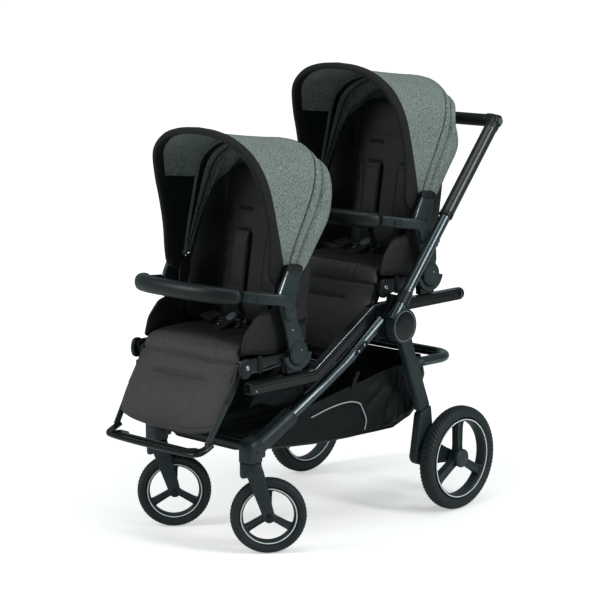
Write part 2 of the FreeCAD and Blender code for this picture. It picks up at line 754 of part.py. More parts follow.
def backrest(seat):
    """The back pad with its two side wings."""
    back, up = seat.pivot
    lean = math.radians(num(S.back_lean))
    way = Vector(0, math.sin(lean), math.cos(lean))
    aside = Vector(0, math.cos(lean), -math.sin(lean))

    def spot(along, behind):
        p = way * along + aside * behind
        return (back + 51 + p.y, up + 46 + p.z)

    thick = num(S.back_thick)
    long = num(S.back_length)
    pad = slab([spot(0, 0), spot(long, 0), spot(long, thick), spot(0, thick)], S.back_half * 2, 0.0)
    crown = num(up) + 46 + 0.9 * long * math.cos(lean)
    pad = rounded(pad, S.back_corner.number,
                  lambda e: e.BoundBox.XLength < 1e-6 and e.BoundBox.ZMin > crown)
    parts = [pad]
    for side in (1, -1):
        parts.append(slab([spot(40, -44), spot(230, -50), spot(330, 2), spot(330, 20),
                           spot(20, 20), spot(10, 0)], 18.0, side * (S.back_half - 9)))
    return fuse(*parts)


def seat_arms(seat):
    """Two uprights that turn on the seat frame, joined behind the back pad by a tube."""
    back, up = seat.pivot
    bar_y, bar_z = seat.bar
    half = S.arm_wide / 2
    bar_outline = [(back + half * 0.95, up + 6), (bar_y + half * 0.97, bar_z + 3),
                   (bar_y + 10, bar_z + 122), (bar_y + 2, bar_z + 130), (bar_y - 10, bar_z + 130),
                   (bar_y - 18, bar_z + 122), (bar_y - half * 0.97, bar_z - 3),
                   (back - half * 0.95, up - 6)]
    parts = []
    lean = math.radians(num(S.back_lean))
    behind = 51 + 28.5 * math.tan(lean) + (num(S.back_thick) + 7 + num(S.soft_gap)) / math.cos(lean)
    cross = (back + behind, up + 74.5)
    for side in (1, -1):
        disc = across(S.arm_disc, side * (S.arm_side - S.arm_thick / 2),
                      side * (S.arm_side + S.arm_thick / 2 + 3), back, up)
        bar = slab(bar_outline, S.arm_thick, side * S.arm_side)
        hole = across(S.small_pin + 1 + S.running_gap, side * (S.arm_side - 30),
                      side * (S.arm_side + 30), back, up)
        inner = side * (S.bow_half + S.bow_radius + 3)
        mount = across(9.0, inner, side * S.arm_side, *seat.canopy)
        pin = across(S.small_pin, side * (S.mid_half - 7), inner + side * 1.0, *seat.canopy)
        bar_pin = across(S.small_pin, side * S.arm_side, side * (S.arm_side + 17), *seat.bar)
        brace = rod(6.0, (side * S.arm_side, back - 26, up + 74.5),
                    (side * S.arm_side, cross[0], cross[1]))
        parts += [cut(fuse(disc, bar), hole), mount, pin, bar_pin, brace]
    parts.append(across(7.0, -S.arm_side - 7, S.arm_side + 7, *cross))
    return fuse(*parts)


LINK_SIDE = 221.3
HALF_BAR = [(LINK_SIDE, -6.0, 33.0), (LINK_SIDE, -46.0, 38.0), (203.0, -92.0, 45.0),
            (168.0, -137.0, 50.0), (118.0, -174.0, 54.0)]
BAR_CROWN = (0.0, -195.0, 58.0)
button_middle = (Vector(*HALF_BAR[2]) + Vector(*HALF_BAR[3])) * 0.5
button_way = Vector(45.0, -35.0, 0).normalize()
LINK_RADIUS = 5.2


def bumper_bar(seat):
    """The bowed bar across the seat: two bosses, the arms with their connectors, the pad."""
    pivot = Vector(0, num(seat.bar[0]), num(seat.bar[1]))
    left = [Vector(*p) + pivot for p in HALF_BAR]
    right = [Vector(-p.x, p.y, p.z) for p in reversed(left)]
    points = left + [Vector(*BAR_CROWN) + pivot] + right
    shape = swept(bent_path([tuple(p) for p in points], 60), LINK_RADIUS)
    pad_start = left[3] * 0.85 + left[2] * 0.15
    pad_points = [pad_start] + points[4:7] + [Vector(-pad_start.x, pad_start.y, pad_start.z)]
    shape = shape.fuse(swept(bent_path([tuple(p) for p in pad_points], 60), num(S.pad_radius)))
    for side in (1, -1):
        inner, outer, top = (Vector(side * p.x, p.y, p.z) for p in (left[3], left[2], left[0]))
        reach = inner - outer
        shape = shape.fuse(Part.makeCylinder(num(S.bar_radius) + 1, reach.Length, outer, reach))
        out = Vector(side, 0, 0)
        face = pivot + out * (num(S.arm_side) + num(S.arm_thick) / 2 + 0.5)
        shape = shape.fuse(Part.makeCylinder(15.0, 10.5, face, out))
        foot = pivot + out * LINK_SIDE
        shape = shape.fuse(Part.makeCylinder(LINK_RADIUS - 0.4, (top - foot).Length, foot,
                                             top - foot))
        shape = shape.fuse(Part.makeSphere(LINK_RADIUS + 0.2, top))
        hole = Part.makeCylinder(num(S.small_pin) + num(S.running_gap), 14.0, face - out * 2, out)
        shape = shape.cut(hole)
    centre = button_middle + pivot
    shape = shape.cut(Part.makeCylinder(7.15, 30.0, centre + button_way * 5, button_way))
    return feature(shape, "bumper_bar")


def bumper_button(seat):
    """The release button in the left connector of the bumper bar."""
    y, z = num(seat.bar[0]), num(seat.bar[1])
    centre = button_middle + Vector(0, y, z)
    return feature(Part.makeCylinder(7.0, 7.0, centre + button_way * 8, button_way), "button")


def legrest_frame(seat):
    """Two bent arms and the foot plate."""
    y, z = seat.leg
    foot_back, foot_up = y - 119, z - 196
    parts = []
    for side in (1, -1):
        arm = slab([(y + 11, z), (y + 6, z - 13), (y - 44, z - 84), (foot_back + 10, foot_up + 6),
                    (foot_back - 8, foot_up + 6), (y - 76, z - 84), (y - 12, z + 4),
                    (y, z + 12)], S.leg_arm_thick, side * S.leg_arm_side)
        hole = across(S.small_pin + S.running_gap, side * (S.leg_arm_side - 10),
                      side * (S.leg_arm_side + 10), y, z)
        parts.append(cut(arm, hole))
    parts.append(slab([(foot_back + 28, foot_up + 12), (foot_back - 26, foot_up - 2),
                       (foot_back - 29, foot_up - 10), (foot_back - 22, foot_up - 12),
                       (foot_back + 30, foot_up)], S.foot_half * 2, 0.0))
    parts.append(across(6.0, -S.leg_arm_side, S.leg_arm_side, y - 52, z - 92))
    return fuse(*parts)


def legrest_cushion(seat):
    """The padded panel of the leg rest."""
    y, z = seat.leg
    thick = S.leg_pad_thick
    return slab([(y - 11, z + 18), (y - 90, z - 84), (y - 113, z - 146), (y - 86, z - 156),
                 (y - 70, z - 106), (y - 11, z - 10)], S.leg_pad_half * 2, 0.0)


def arch(half, high):
    """The path of a bow in its own plane: two legs and a half circle, its feet on the X axis."""
    left = Vector(half, 0, 0)
    leg_top = Vector(half, 0, high - half)
    far_top = Vector(-half, 0, high - half)
    crown = Vector(0, 0, high)
    return Part.Wire([Part.LineSegment(left, leg_top).toShape(),
                      Part.Arc(leg_top, crown, far_top).toShape(),
                      Part.LineSegment(far_top, Vector(-half, 0, 0)).toShape()])


def bow(seat, half, high, radius, lean):
    """A canopy bow with an eye at each end, leaning forwards by an angle."""
    half, high, radius = num(half), num(high), num(radius)
    shape = swept(arch(half, high), radius)
    for side in (1, -1):
        eye = Part.makeCylinder(11.0, 2 * radius, Vector(side * half - radius, 0, 0),
                                Vector(1, 0, 0))
        shape = shape.fuse(eye)
    for side in (1, -1):
        hole = Part.makeCylinder(num(S.small_pin) + num(S.running_gap), 2 * radius + 2,
                                 Vector(side * half - radius - 1, 0, 0), Vector(1, 0, 0))
        shape = shape.cut(hole)
    thing = feature(shape.removeSplitter(), "bow")
    thing.Placement = Placement(Vector(0, num(seat.canopy[0]), num(seat.canopy[1])),
                                Rotation(Vector(1, 0, 0), lean))
    return thing


def hood_band(half, high, thick, foot_gap, lean):
    """A closed band, the hood's section in a plane leaning by an angle about the pivots."""
    outer_half, outer_high = half + thick, high + thick
    up = high - half
    points = [Vector(outer_half, 0, foot_gap), Vector(outer_half, 0, up),
              Vector(-outer_half, 0, up), Vector(-outer_half, 0, foot_gap),
              Vector(-half, 0, foot_gap), Vector(-half, 0, up), Vector(half, 0, up),
              Vector(half, 0, foot_gap)]
    edges = [Part.LineSegment(points[0], points[1]),
             Part.Arc(points[1], Vector(0, 0, up + outer_half), points[2]),
             Part.LineSegment(points[2], points[3]), Part.LineSegment(points[3], points[4]),
             Part.LineSegment(points[4], points[5]),
             Part.Arc(points[5], Vector(0, 0, up + half), points[6]),
             Part.LineSegment(points[6], points[7]), Part.LineSegment(points[7], points[0])]
    wire = Part.Wire([e.toShape() for e in edges])
    wire.Placement = Placement(Vector(), Rotation(Vector(1, 0, 0), lean))
    return wire


def canopy_fabric(seat):
    """The hood's cloth: bands fanned about the pivots, from the front bow to behind the back."""
    inner = num(S.bow_half) + num(S.bow_radius) + 0.8
    high = num(S.bow_high) + num(S.bow_radius) + 4
    thick = num(S.hood_thick)
    fan = [(num(S.bow_lean) + 1, inner, high, 34.0), (-num(S.mid_lean), inner, high, 36.0),
           (-38.0, inner - 3, high - 36, 44.0), (-58.0, inner - 10, high - 116, 48.0)]
    shape = None
    for first, second in zip(fan, fan[1:]):
        wires = [hood_band(half, tall, thick, gap, lean) for lean, half, tall, gap in (first, second)]
        piece = Part.makeLoft(wires, True, True)
        shape = piece if shape is None else shape.fuse(piece)
    thing = feature(shape, "canopy_fabric")
    thing.Placement = Placement(Vector(0, num(seat.canopy[0]), num(seat.canopy[1])), UPRIGHT)
    return thing


def buckle(seat):
    """The harness buckle standing on the seat pad."""
    back, up = seat.pivot
    low = up - 10 + S.soft_gap * 2 + S.cushion_thick
    stalk = block((30.0, 6.0, 30.0), (-15.0, back - 62, low))
    body = block((46.0, 20.0, 34.0), (-23.0, back - 69, low + 28))
    disc = cylinder(13.0, 5.0, (0.0, back - 69, low + 46), Rotation(Vector(1, 0, 0), 90))
    return fuse(stalk, body, disc)


for name, step in (("front", 0.0), ("rear", 1.0)):
    seat = Seat(name, step)
    prefix = name + "_"
    node(prefix + "seat_frame", seat_frame(seat))
    node(prefix + "seat_cushion", seat_cushion(seat))
    node(prefix + "backrest", backrest(seat))
    node(prefix + "seat_arms", seat_arms(seat))
    node(prefix + "bumper_bar", bumper_bar(seat))
    node(prefix + "bumper_button", bumper_button(seat))
    node(prefix + "legrest_frame", legrest_frame(seat))
    node(prefix + "legrest_cushion", legrest_cushion(seat))
    node(prefix + "canopy_bow", bow(seat, S.bow_half, S.bow_high, S.bow_radius, num(S.bow_lean)))
    node(prefix + "canopy_mid_bow",
         bow(seat, S.mid_half, S.mid_high, S.mid_radius, -num(S.mid_lean)))
    node(prefix + "canopy_fabric", canopy_fabric(seat))
    node(prefix + "buckle", buckle(seat))

# ---------------------------------------------------------------------------------------------
# Check and write
# ---------------------------------------------------------------------------------------------
doc.recompute()
for thing in doc.Objects:
    if "Invalid" in thing.State or "Error" in thing.State:
        raise RuntimeError("%s did not compute: %s" % (thing.Name, thing.State))
for thing in NODES:
    if thing.Shape.isNull() or not thing.Shape.isValid() or not thing.Shape.Solids:
        raise RuntimeError(thing.Label + " has no valid solid")
    thing.Shape.exportStep("parts/%s.step" % thing.Label)
print("%d sub-parts written" % len(NODES))
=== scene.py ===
"""Looks of the tandem pushchair: camera, light, finishes, and the detailed pieces that stand for
the frame's plain solids. Shapes are worked out in millimetres in the frame's own axes (+Z up,
-Y forwards, +X to the child's left) and become metres when a mesh is written."""
import math
import bpy
import numpy as np
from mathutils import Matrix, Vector


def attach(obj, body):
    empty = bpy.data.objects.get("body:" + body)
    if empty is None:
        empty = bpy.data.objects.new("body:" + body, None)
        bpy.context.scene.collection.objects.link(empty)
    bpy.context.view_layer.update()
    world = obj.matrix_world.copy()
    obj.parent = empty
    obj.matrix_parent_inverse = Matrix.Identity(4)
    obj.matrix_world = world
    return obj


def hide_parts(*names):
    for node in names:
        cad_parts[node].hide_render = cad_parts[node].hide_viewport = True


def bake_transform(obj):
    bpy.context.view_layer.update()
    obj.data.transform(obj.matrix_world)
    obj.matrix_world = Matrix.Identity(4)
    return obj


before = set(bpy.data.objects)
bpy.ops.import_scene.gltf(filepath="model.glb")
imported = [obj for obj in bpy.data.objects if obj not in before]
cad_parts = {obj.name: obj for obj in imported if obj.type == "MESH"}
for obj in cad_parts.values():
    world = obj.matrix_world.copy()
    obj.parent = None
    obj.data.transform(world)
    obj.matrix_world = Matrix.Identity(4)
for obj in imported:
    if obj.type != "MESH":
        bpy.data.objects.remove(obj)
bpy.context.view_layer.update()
MM = 0.001
SEAT_STEP = np.array([0.0, 509.0, 137.0])  # from the front seat to the rear one
SIDES = (("left", 1), ("right", -1))
SEATS = (("front", np.zeros(3)), ("rear", SEAT_STEP))

# ---------------------------------------------------------------------------------------------
# Camera, floor and light
# ---------------------------------------------------------------------------------------------
def placed(name, data):
    """A new object with that data, linked to the scene."""
    thing = bpy.data.objects.new(name, data)
    bpy.context.scene.collection.objects.link(thing)
    return thing


def look_from(azimuth, elevation, target, distance):
    """The point at that distance from the target, in the direction the two angles give."""
    a, e = math.radians(azimuth), math.radians(elevation)
    way = np.array([math.sin(a) * math.cos(e), -math.cos(a) * math.cos(e), math.sin(e)])
    return np.asarray(target) + distance * way, way


def camera():
    """A long lens at the viewing angle of the product picture."""
    place, way = look_from(43.8257, 10.1467, (0.0, 0.0136, 0.5768), 5.4074)
    data = bpy.data.cameras.new("camera")
    data.lens, data.sensor_width = 122.82, 36.0
    data.clip_end = 100.0
    thing = placed("camera", data)
    thing.rotation_mode = "QUATERNION"
    thing.location = place
    thing.rotation_quaternion = (-Vector(way)).to_track_quat("-Z", "Y")
    bpy.context.scene.camera = thing


def softbox(name, place, target, wide, tall, watts):
    """A rectangular area light that faces its target."""
    data = bpy.data.lights.new(name, "AREA")
    data.shape, data.size, data.size_y, data.energy = "RECTANGLE", wide, tall, watts
    thing = placed(name, data)
    thing.location = place
    thing.rotation_mode = "QUATERNION"
    thing.rotation_quaternion = (Vector(target) - Vector(place)).to_track_quat("-Z", "Y")


SURROUND = 0.27  # how bright the surround is for everything but the camera


def light():
    """A white surround, a large top light and two side lights."""
    scene = bpy.context.scene
    scene.view_settings.view_transform = "Standard"
    scene.view_settings.look = "None"
    world = bpy.data.worlds.new("surround")
    scene.world = world
    world.use_nodes = True
    tree = world.node_tree
    back = tree.nodes["Background"]
    path = tree.nodes.new("ShaderNodeLightPath")
    share = tree.nodes.new("ShaderNodeMapRange")
    share.inputs["To Min"].default_value = SURROUND
    share.inputs["To Max"].default_value = 1.0
    tree.links.new(path.outputs["Is Camera Ray"], share.inputs["Value"])
    tree.links.new(share.outputs["Result"], back.inputs["Strength"])
    tint = tree.nodes.new("ShaderNodeMix")
    tint.data_type = "RGBA"
    tint.inputs[6].default_value = (0.80, 0.98, 1.0, 1.0)
    tint.inputs[7].default_value = (1.0, 1.0, 1.0, 1.0)
    tree.links.new(path.outputs["Is Camera Ray"], tint.inputs[0])
    tree.links.new(tint.outputs[2], back.inputs["Color"])
    softbox("top_light", (0.4, -0.3, 3.4), (0.0, 0.0, 0.4), 1.8, 1.8, 24.0)
    softbox("near_light", (3.2, 0.6, 2.2), (0.0, 0.0, 0.6), 0.7, 2.4, 66.0)
    softbox("front_light", (-1.6, -3.2, 2.4), (0.0, 0.0, 0.6), 1.0, 2.0, 66.0)


# ---------------------------------------------------------------------------------------------
# Finishes
# ---------------------------------------------------------------------------------------------
class Finish:
    """A material and a short way to add and join its nodes."""

    def __init__(self, name, colour, rough=0.5, metal=0.0, **shader):
        self.material = bpy.data.materials.new(name)
        self.material.use_nodes = True
        self.tree = self.material.node_tree
        self.shader = self.tree.nodes["Principled BSDF"]
        self.set("Base Color", (*colour, 1.0))
        self.set("Roughness", rough)
        self.set("Metallic", metal)
        for key, value in shader.items():
            self.set(key.replace("_", " "), value)

    def set(self, key, value):
        """A number, colour or node's output for one of the shader's sockets."""
        self.join(self.shader, key, value)

    def join(self, node, key, value):
        """Links a node's output to a socket, or sets the socket to a plain value."""
        if isinstance(value, bpy.types.NodeSocket):
            self.tree.links.new(value, node.inputs[key])
        else:
            node.inputs[key].default_value = value

    def add(self, kind, out=0, settings=(), **inputs):
        """A new node of that kind with its inputs joined or set; returns one of its outputs."""
        node = self.tree.nodes.new("ShaderNode" + kind)
        for key, value in dict(settings).items():
            setattr(node, key, value)
        for key, value in inputs.items():
            key = key.replace("_", " ")
            self.join(node, int(key[2:]) if key.startswith("at") else key, value)
        return node.outputs[out]

    def place(self, source="Object", scale=(1.0, 1.0, 1.0)):
        """Object coordinates, or the piece's own cloth coordinates, scaled."""
        return self.add("Mapping", Vector=self.add("TexCoord", source), Scale=scale)

    def noise(self, scale, detail=2.0, rough=0.5, source="Object", stretch=(1.0, 1.0, 1.0)):
        """Soft random mottling with features about 1 / scale metres across."""
        return self.add("TexNoise", "Fac", Vector=self.place(source, stretch), Scale=scale,
                        Detail=detail, Roughness=rough)

    def maths(self, operation, first, second=0.0):
        """One sum, product or sine of two values."""
        return self.add("Math", 0, {"operation": operation}, at0=first, at1=second)

    def spread(self, value, low, high, start=0.0, end=1.0):
        """The value carried from start..end to low..high."""
        return self.add("MapRange", "Result", Value=value, at1=start, at2=end, at3=low, at4=high)

    def blend(self, share, first, second):
        """Two colours mixed by a share."""
        node = self.tree.nodes.new("ShaderNodeMix")
        node.data_type = "RGBA"
        self.join(node, 0, share)
        for key, value in ((6, first), (7, second)):
            is_socket = isinstance(value, bpy.types.NodeSocket)
            self.join(node, key, value if is_socket else (*value, 1.0))
        return node.outputs[2]

    def bump(self, height, strength, distance):
        """Tilts the surface's light by a height map; the distance is in metres."""
        self.set("Normal", self.add("Bump", Strength=strength, Distance=distance, Height=height))


def shade(colour, factor):
    """The colour made lighter or darker."""
    return tuple(min(1.0, c * factor) for c in colour)


def moulded(name, colour, rough=0.42, grain=0.25, **shader):
    """Injection-moulded plastic: a fine spark-eroded grain, faint flow mottling and rub marks."""
    f = Finish(name, colour, rough, **{"Specular_IOR_Level": 0.26, **shader})
    cloud = f.noise(22.0, 3.0, 0.6)
    f.set("Base Color", f.blend(f.spread(cloud, 0.0, 1.0, 0.3, 0.7), shade(colour, 0.86),
                                shade(colour, 1.14)))
    rub = f.noise(90.0, 4.0, 0.65, stretch=(1.0, 1.0, 0.25))
    f.set("Roughness", f.spread(rub, rough - 0.06, rough + 0.07, 0.3, 0.7))
    f.bump(f.noise(1700.0, 2.0, 0.6), grain, 0.0002)
    return f.material


def coated_tube(name, colour, rough, metal):
    """Lacquered metal tube: fine flake, long faint draw lines and small changes of gloss."""
    f = Finish(name, colour, rough, metal, Coat_Weight=0.25, Coat_Roughness=0.18)
    flake = f.noise(2600.0, 1.0, 0.5)
    f.set("Base Color", f.blend(f.spread(flake, 0.0, 1.0, 0.35, 0.7), shade(colour, 0.94),
                                shade(colour, 1.07)))
    f.set("Roughness", f.spread(f.noise(35.0, 4.0, 0.6), rough - 0.03, rough + 0.04, 0.3, 0.7))
    return f.material


def woven(name, dark, pale, thread, heather, rough=0.85, sheen=0.2, relief=0.35, slub=240.0,
          shine=0.14):
    """Plain weave on the cloth's own coordinates: two sets of threads that cross over and under,
    each thread with its own shade, and short slubs that run along both directions."""
    f = Finish(name, dark, rough, Sheen_Weight=sheen, Sheen_Roughness=0.45,
               Specular_IOR_Level=shine)
    turns = 2.0 * math.pi / thread
    parts = f.add("SeparateXYZ", 0, Vector=f.add("TexCoord", "UV")).node
    across = f.maths("SINE", f.maths("MULTIPLY", parts.outputs[0], turns))
    along = f.maths("SINE", f.maths("MULTIPLY", parts.outputs[1], turns))
    weave = f.maths("MULTIPLY", across, along)
    warp = f.noise(slub, 3.0, 0.7, "UV", (1.0, 0.22, 1.0))
    weft = f.noise(slub, 3.0, 0.7, "UV", (0.22, 1.0, 1.0))
    mixed = f.maths("ADD", warp, weft)
    fleck = f.spread(mixed, 0.5 - heather, 0.5 + heather, 0.72, 1.28)
    broad = f.spread(f.noise(14.0, 3.0, 0.6, "UV"), -0.07, 0.07, 0.3, 0.7)
    share = f.maths("ADD", f.maths("ADD", fleck, broad), f.maths("MULTIPLY", weave, 0.06))
    f.set("Base Color", f.blend(share, dark, pale))
    f.set("Roughness", f.spread(mixed, rough + 0.06, rough - 0.08, 0.7, 1.3))
    height = f.maths("ADD", weave, f.maths("MULTIPLY", mixed, 1.5))
    f.bump(height, relief, 0.0005)
    return f.material


def netting(name, dark, pale, pitch):
    """Spacer net: rows of fine pale lines with dark gaps between them."""
    f = Finish(name, dark, 0.8, Specular_IOR_Level=0.1)
    parts = f.add("SeparateXYZ", 0, Vector=f.add("TexCoord", "UV")).node
    wobble = f.spread(f.noise(60.0, 2.0, 0.5, "UV"), -0.9, 0.9, 0.3, 0.7)
    rows = f.maths("SINE", f.maths("ADD", f.maths("MULTIPLY", parts.outputs[1],
                                                  2.0 * math.pi / pitch), wobble))
    cells = f.maths("SINE", f.maths("MULTIPLY", parts.outputs[0], 4.0 * math.pi / pitch))
    lines = f.spread(f.maths("ADD", rows, f.maths("MULTIPLY", cells, 0.35)), 0.0, 1.0, 0.1, 1.2)
    f.set("Base Color", f.blend(lines, dark, pale))
    f.bump(lines, 0.5, 0.0006)
    return f.material


def grained_cover(name, colour, rough):
    """Coated bar cover: small leather pebbles with painted shade in the grooves between them, soft
    sheen and a few handling marks.
    """
    f = Finish(name, colour, rough, Coat_Weight=0.10, Coat_Roughness=0.35,
               Specular_IOR_Level=0.25)
    cell = f.add("TexVoronoi", "Distance", {"feature": "DISTANCE_TO_EDGE"},
                 Vector=f.place(), Scale=620.0)
    pebble_height_and_groove_shade = f.spread(cell, 0.0, 1.0, 0.0, 0.25)
    # Darker colour in the grooves between the pebbles is painted shade; the same map drives the
    # bump.
    f.set("Base Color", f.blend(pebble_height_and_groove_shade, shade(colour, 0.75), shade(colour, 1.08)))
    f.set("Roughness", f.spread(f.noise(30.0, 4.0, 0.6), rough - 0.07, rough + 0.08, 0.3, 0.7))
    f.bump(pebble_height_and_groove_shade, 0.22, 0.0003)
    return f.material


def rubber(name, colour):
    """Foamed tyre rubber: matt, with fine pits and a dusty bloom in patches."""
    f = Finish(name, colour, 0.62, Specular_IOR_Level=0.30)
    dust = f.spread(f.noise(26.0, 5.0, 0.65), 0.0, 1.0, 0.42, 0.75)
    f.set("Base Color", f.blend(dust, colour, shade(colour, 1.45)))
    f.set("Roughness", f.spread(dust, 0.55, 0.72))
    f.bump(f.noise(1100.0, 3.0, 0.6), 0.3, 0.0003)
    return f.material


def bright_metal(name, colour, rough):
    """Plated or painted bright trim with faint brushed lines."""
    f = Finish(name, colour, rough, 0.85)
    lines = f.noise(500.0, 2.0, 0.5, stretch=(1.0, 0.05, 1.0))
    f.set("Roughness", f.spread(lines, rough - 0.05, rough + 0.1, 0.3, 0.7))
    f.bump(lines, 0.05, 0.0001)
    return f.material


def studio_floor():
    """Plain white near the wheels that goes over into the white surround further off."""
    f = Finish("studio_floor", (0.93, 0.93, 0.93), 0.6, Specular_IOR_Level=0.1)
    spot = f.add("NewGeometry", "Position")
    far = f.add("VectorMath", "Value", {"operation": "LENGTH"}, Vector=spot)
    f.set("Emission Color", (1.0, 0.985, 0.975, 1.0))
    glow = f.spread(far, 0.44, 0.85, 0.4, 3.0)
    f.set("Emission Strength", f.maths("MULTIPLY", glow, f.add("LightPath", "Is Camera Ray")))
    return f.material


floor_paint = studio_floor()
casting = moulded("satin_casting", (0.016, 0.026, 0.028), 0.40)
dark_plastic = moulded("dark_plastic", (0.0065, 0.0090, 0.0100), 0.38)
gloss_black = moulded("gloss_black", (0.003, 0.004, 0.0045), 0.20, 0.05, Coat_Weight=0.15,
                      Coat_Roughness=0.06)
button_grey = moulded("button_grey", (0.075, 0.10, 0.10), 0.45)
rim_plastic = moulded("rim_plastic", (0.026, 0.038, 0.040), 0.44)
gunmetal = coated_tube("gunmetal_tube", (0.060, 0.078, 0.083), 0.24, 0.9)
black_tube = coated_tube("black_sleeve", (0.011, 0.015, 0.016), 0.33, 0.3)
tyre_rubber = rubber("tyre_rubber", (0.012, 0.018, 0.019))
ring_paint = moulded("ring_paint", (0.80, 0.83, 0.83), 0.5)
# This silver also draws the painted highlight line on each seat rail's slope, besides the real
# bright parts.
silver = bright_metal("silver_trim_and_painted_highlight", (0.30, 0.33, 0.34), 0.26)
bar_cover = grained_cover("bar_cover", (0.0060, 0.0100, 0.0110), 0.42)
grip_foam = moulded("grip_foam", (0.006, 0.007, 0.008), 0.55, 0.6)
melange = woven("melange_cloth", (0.036, 0.048, 0.044), (0.330, 0.390, 0.365), 0.0019, 0.60,
                sheen=0.02, slub=540.0)
# A darker copy of the hood melange for the sleeve inside the hood: painted shade, not a separate
# lining cloth.
melange_painted_shade = woven("melange_cloth_painted_shade", (0.026, 0.036, 0.033), (0.23, 0.28, 0.26), 0.0019, 0.60,
                       sheen=0.02, slub=540.0)
seat_cloth = woven("seat_cloth", (0.0075, 0.0085, 0.0087), (0.0205, 0.0210, 0.0206), 0.0011, 0.22,
                   rough=0.55, sheen=0.01, relief=0.18, shine=0.20)
pad_cloth = woven("pad_cloth", (0.0110, 0.0115, 0.0110), (0.0230, 0.0232, 0.0225), 0.0011, 0.22,
                  rough=0.55, sheen=0.01, relief=0.18, shine=0.20)
legrest_cloth = woven("legrest_cloth", (0.037, 0.0355, 0.034), (0.067, 0.065, 0.061), 0.0011, 0.22,
                      rough=0.55, sheen=0.02, relief=0.18, shine=0.20)
trim_cloth = woven("trim_cloth", (0.0070, 0.0075, 0.0073), (0.0185, 0.0190, 0.0183), 0.0012, 0.26,
                   rough=0.65, sheen=0.02, relief=0.2, shine=0.15)
basket_cloth = woven("basket_cloth", (0.0022, 0.0034, 0.0039), (0.0070, 0.0105, 0.0112), 0.0011,
                     0.25, rough=0.45, sheen=0.01, relief=0.15, shine=0.14)
webbing = woven("webbing", (0.0050, 0.0055, 0.0060), (0.0150, 0.0160, 0.0165), 0.0022, 0.2, 0.7,
                sheen=0.02)
piping = woven("pale_piping", (0.34, 0.37, 0.37), (0.55, 0.59, 0.58), 0.0012, 0.2, 0.7)
stitching = moulded("seam_thread", (0.004, 0.0045, 0.0045), 0.8)
net = netting("window_net", (0.0018, 0.0026, 0.0030), (0.034, 0.043, 0.045), 0.0075)

# ---------------------------------------------------------------------------------------------
# Surfaces
# ---------------------------------------------------------------------------------------------
def lengths_along(points, axis):
    """Distance travelled along one direction of a grid, starting from nothing, in metres."""
    steps = np.linalg.norm(np.diff(points, axis=axis), axis=2)
    first = np.zeros_like(np.take(steps, [0], axis=axis))
    return np.concatenate([first, np.cumsum(steps, axis=axis)], axis=axis) * MM


def evenly(line, count):
    """The same line with its points evenly spaced by length."""
    steps = np.linalg.norm(np.diff(line, axis=0), axis=1)
    run = np.concatenate([[0.0], np.cumsum(steps)])
    at = np.linspace(0.0, run[-1], count)
    return np.stack([np.interp(at, run, line[:, k]) for k in range(line.shape[1])], axis=1)


def eased(points, count):
    """A smooth line through the points: each span is the cubic whose end slopes are half the
    step between its neighbours. Its points are evenly spaced."""
    p = np.asarray(points, float)
    wide = np.vstack([2 * p[0] - p[1], p, 2 * p[-1] - p[-2]])
    t = np.linspace(0.0, len(p) - 1, 30 * (len(p) - 1) + 1)
    i = np.minimum(t.astype(int), len(p) - 2)
    f = (t - i)[:, None]
    a, b, c, d = wide[i], wide[i + 1], wide[i + 2], wide[i + 3]
    line = 0.5 * (2 * b + (c - a) * f + (2 * a - 5 * b + 4 * c - d) * f ** 2
                  + (3 * b - a - 3 * c + d) * f ** 3)
    return evenly(line, count)


def softened(corners, radius, steps=6):
    """A closed outline with each corner replaced by a quadratic curve that starts and ends a
    radius away from it, or nearly half way along a shorter side."""
    p = np.asarray(corners, float)
    reach = np.broadcast_to(np.asarray(radius, float), (len(p),))[:, None]
    back, on = np.roll(p, 1, 0) - p, np.roll(p, -1, 0) - p
    far_back = np.linalg.norm(back, axis=1, keepdims=True)
    far_on = np.linalg.norm(on, axis=1, keepdims=True)
    a = p + back / far_back * np.minimum(reach, far_back * 0.48)
    b = p + on / far_on * np.minimum(reach, far_on * 0.48)
    t = np.linspace(0.0, 1.0, steps)[None, :, None]
    curve = a[:, None] * (1 - t) ** 2 + p[:, None] * 2 * t * (1 - t) + b[:, None] * t ** 2
    return curve.reshape(-1, p.shape[1])


def capsule(first, second, r_first, r_second, steps=14):
    """The outline round two circles: half of each, turned to face away from the other."""
    first, second = np.asarray(first, float), np.asarray(second, float)
    way = second - first
    angle = math.atan2(way[1], way[0])
    lean = math.asin((r_first - r_second) / np.linalg.norm(way))
    a = np.linspace(angle + math.pi / 2 - lean, angle + 1.5 * math.pi + lean, steps)
    b = np.linspace(angle - math.pi / 2 + lean, angle + math.pi / 2 - lean, steps)
    return np.vstack([first + r_first * np.stack([np.cos(a), np.sin(a)], 1),
                      second + r_second * np.stack([np.cos(b), np.sin(b)], 1)])


def inset(outline, distance):
    """A closed outline moved inwards along the middle of the normals of its two sides."""
    back = outline - np.roll(outline, 1, 0)
    on = np.roll(outline, -1, 0) - outline
    back /= np.maximum(np.linalg.norm(back, axis=1, keepdims=True), 1e-9)
    on /= np.maximum(np.linalg.norm(on, axis=1, keepdims=True), 1e-9)
    middle = back + on
    middle /= np.maximum(np.linalg.norm(middle, axis=1, keepdims=True), 1e-9)
    inward = np.stack([-middle[:, 1], middle[:, 0]], 1)
    slant = np.clip((middle * on).sum(1, keepdims=True), 0.6, 1.0)
    return outline + inward * distance / slant


def oval(half_wide, half_tall, power=2.0, count=24):
    """A superellipse: |x / wide| ** power + |y / tall| ** power = 1, as points round it."""
    t = np.linspace(0.0, 2 * math.pi, count, endpoint=False)
    c, s = np.cos(t), np.sin(t)
    return np.stack([half_wide * np.sign(c) * np.abs(c) ** (2 / power),
                     half_tall * np.sign(s) * np.abs(s) ** (2 / power)], 1)


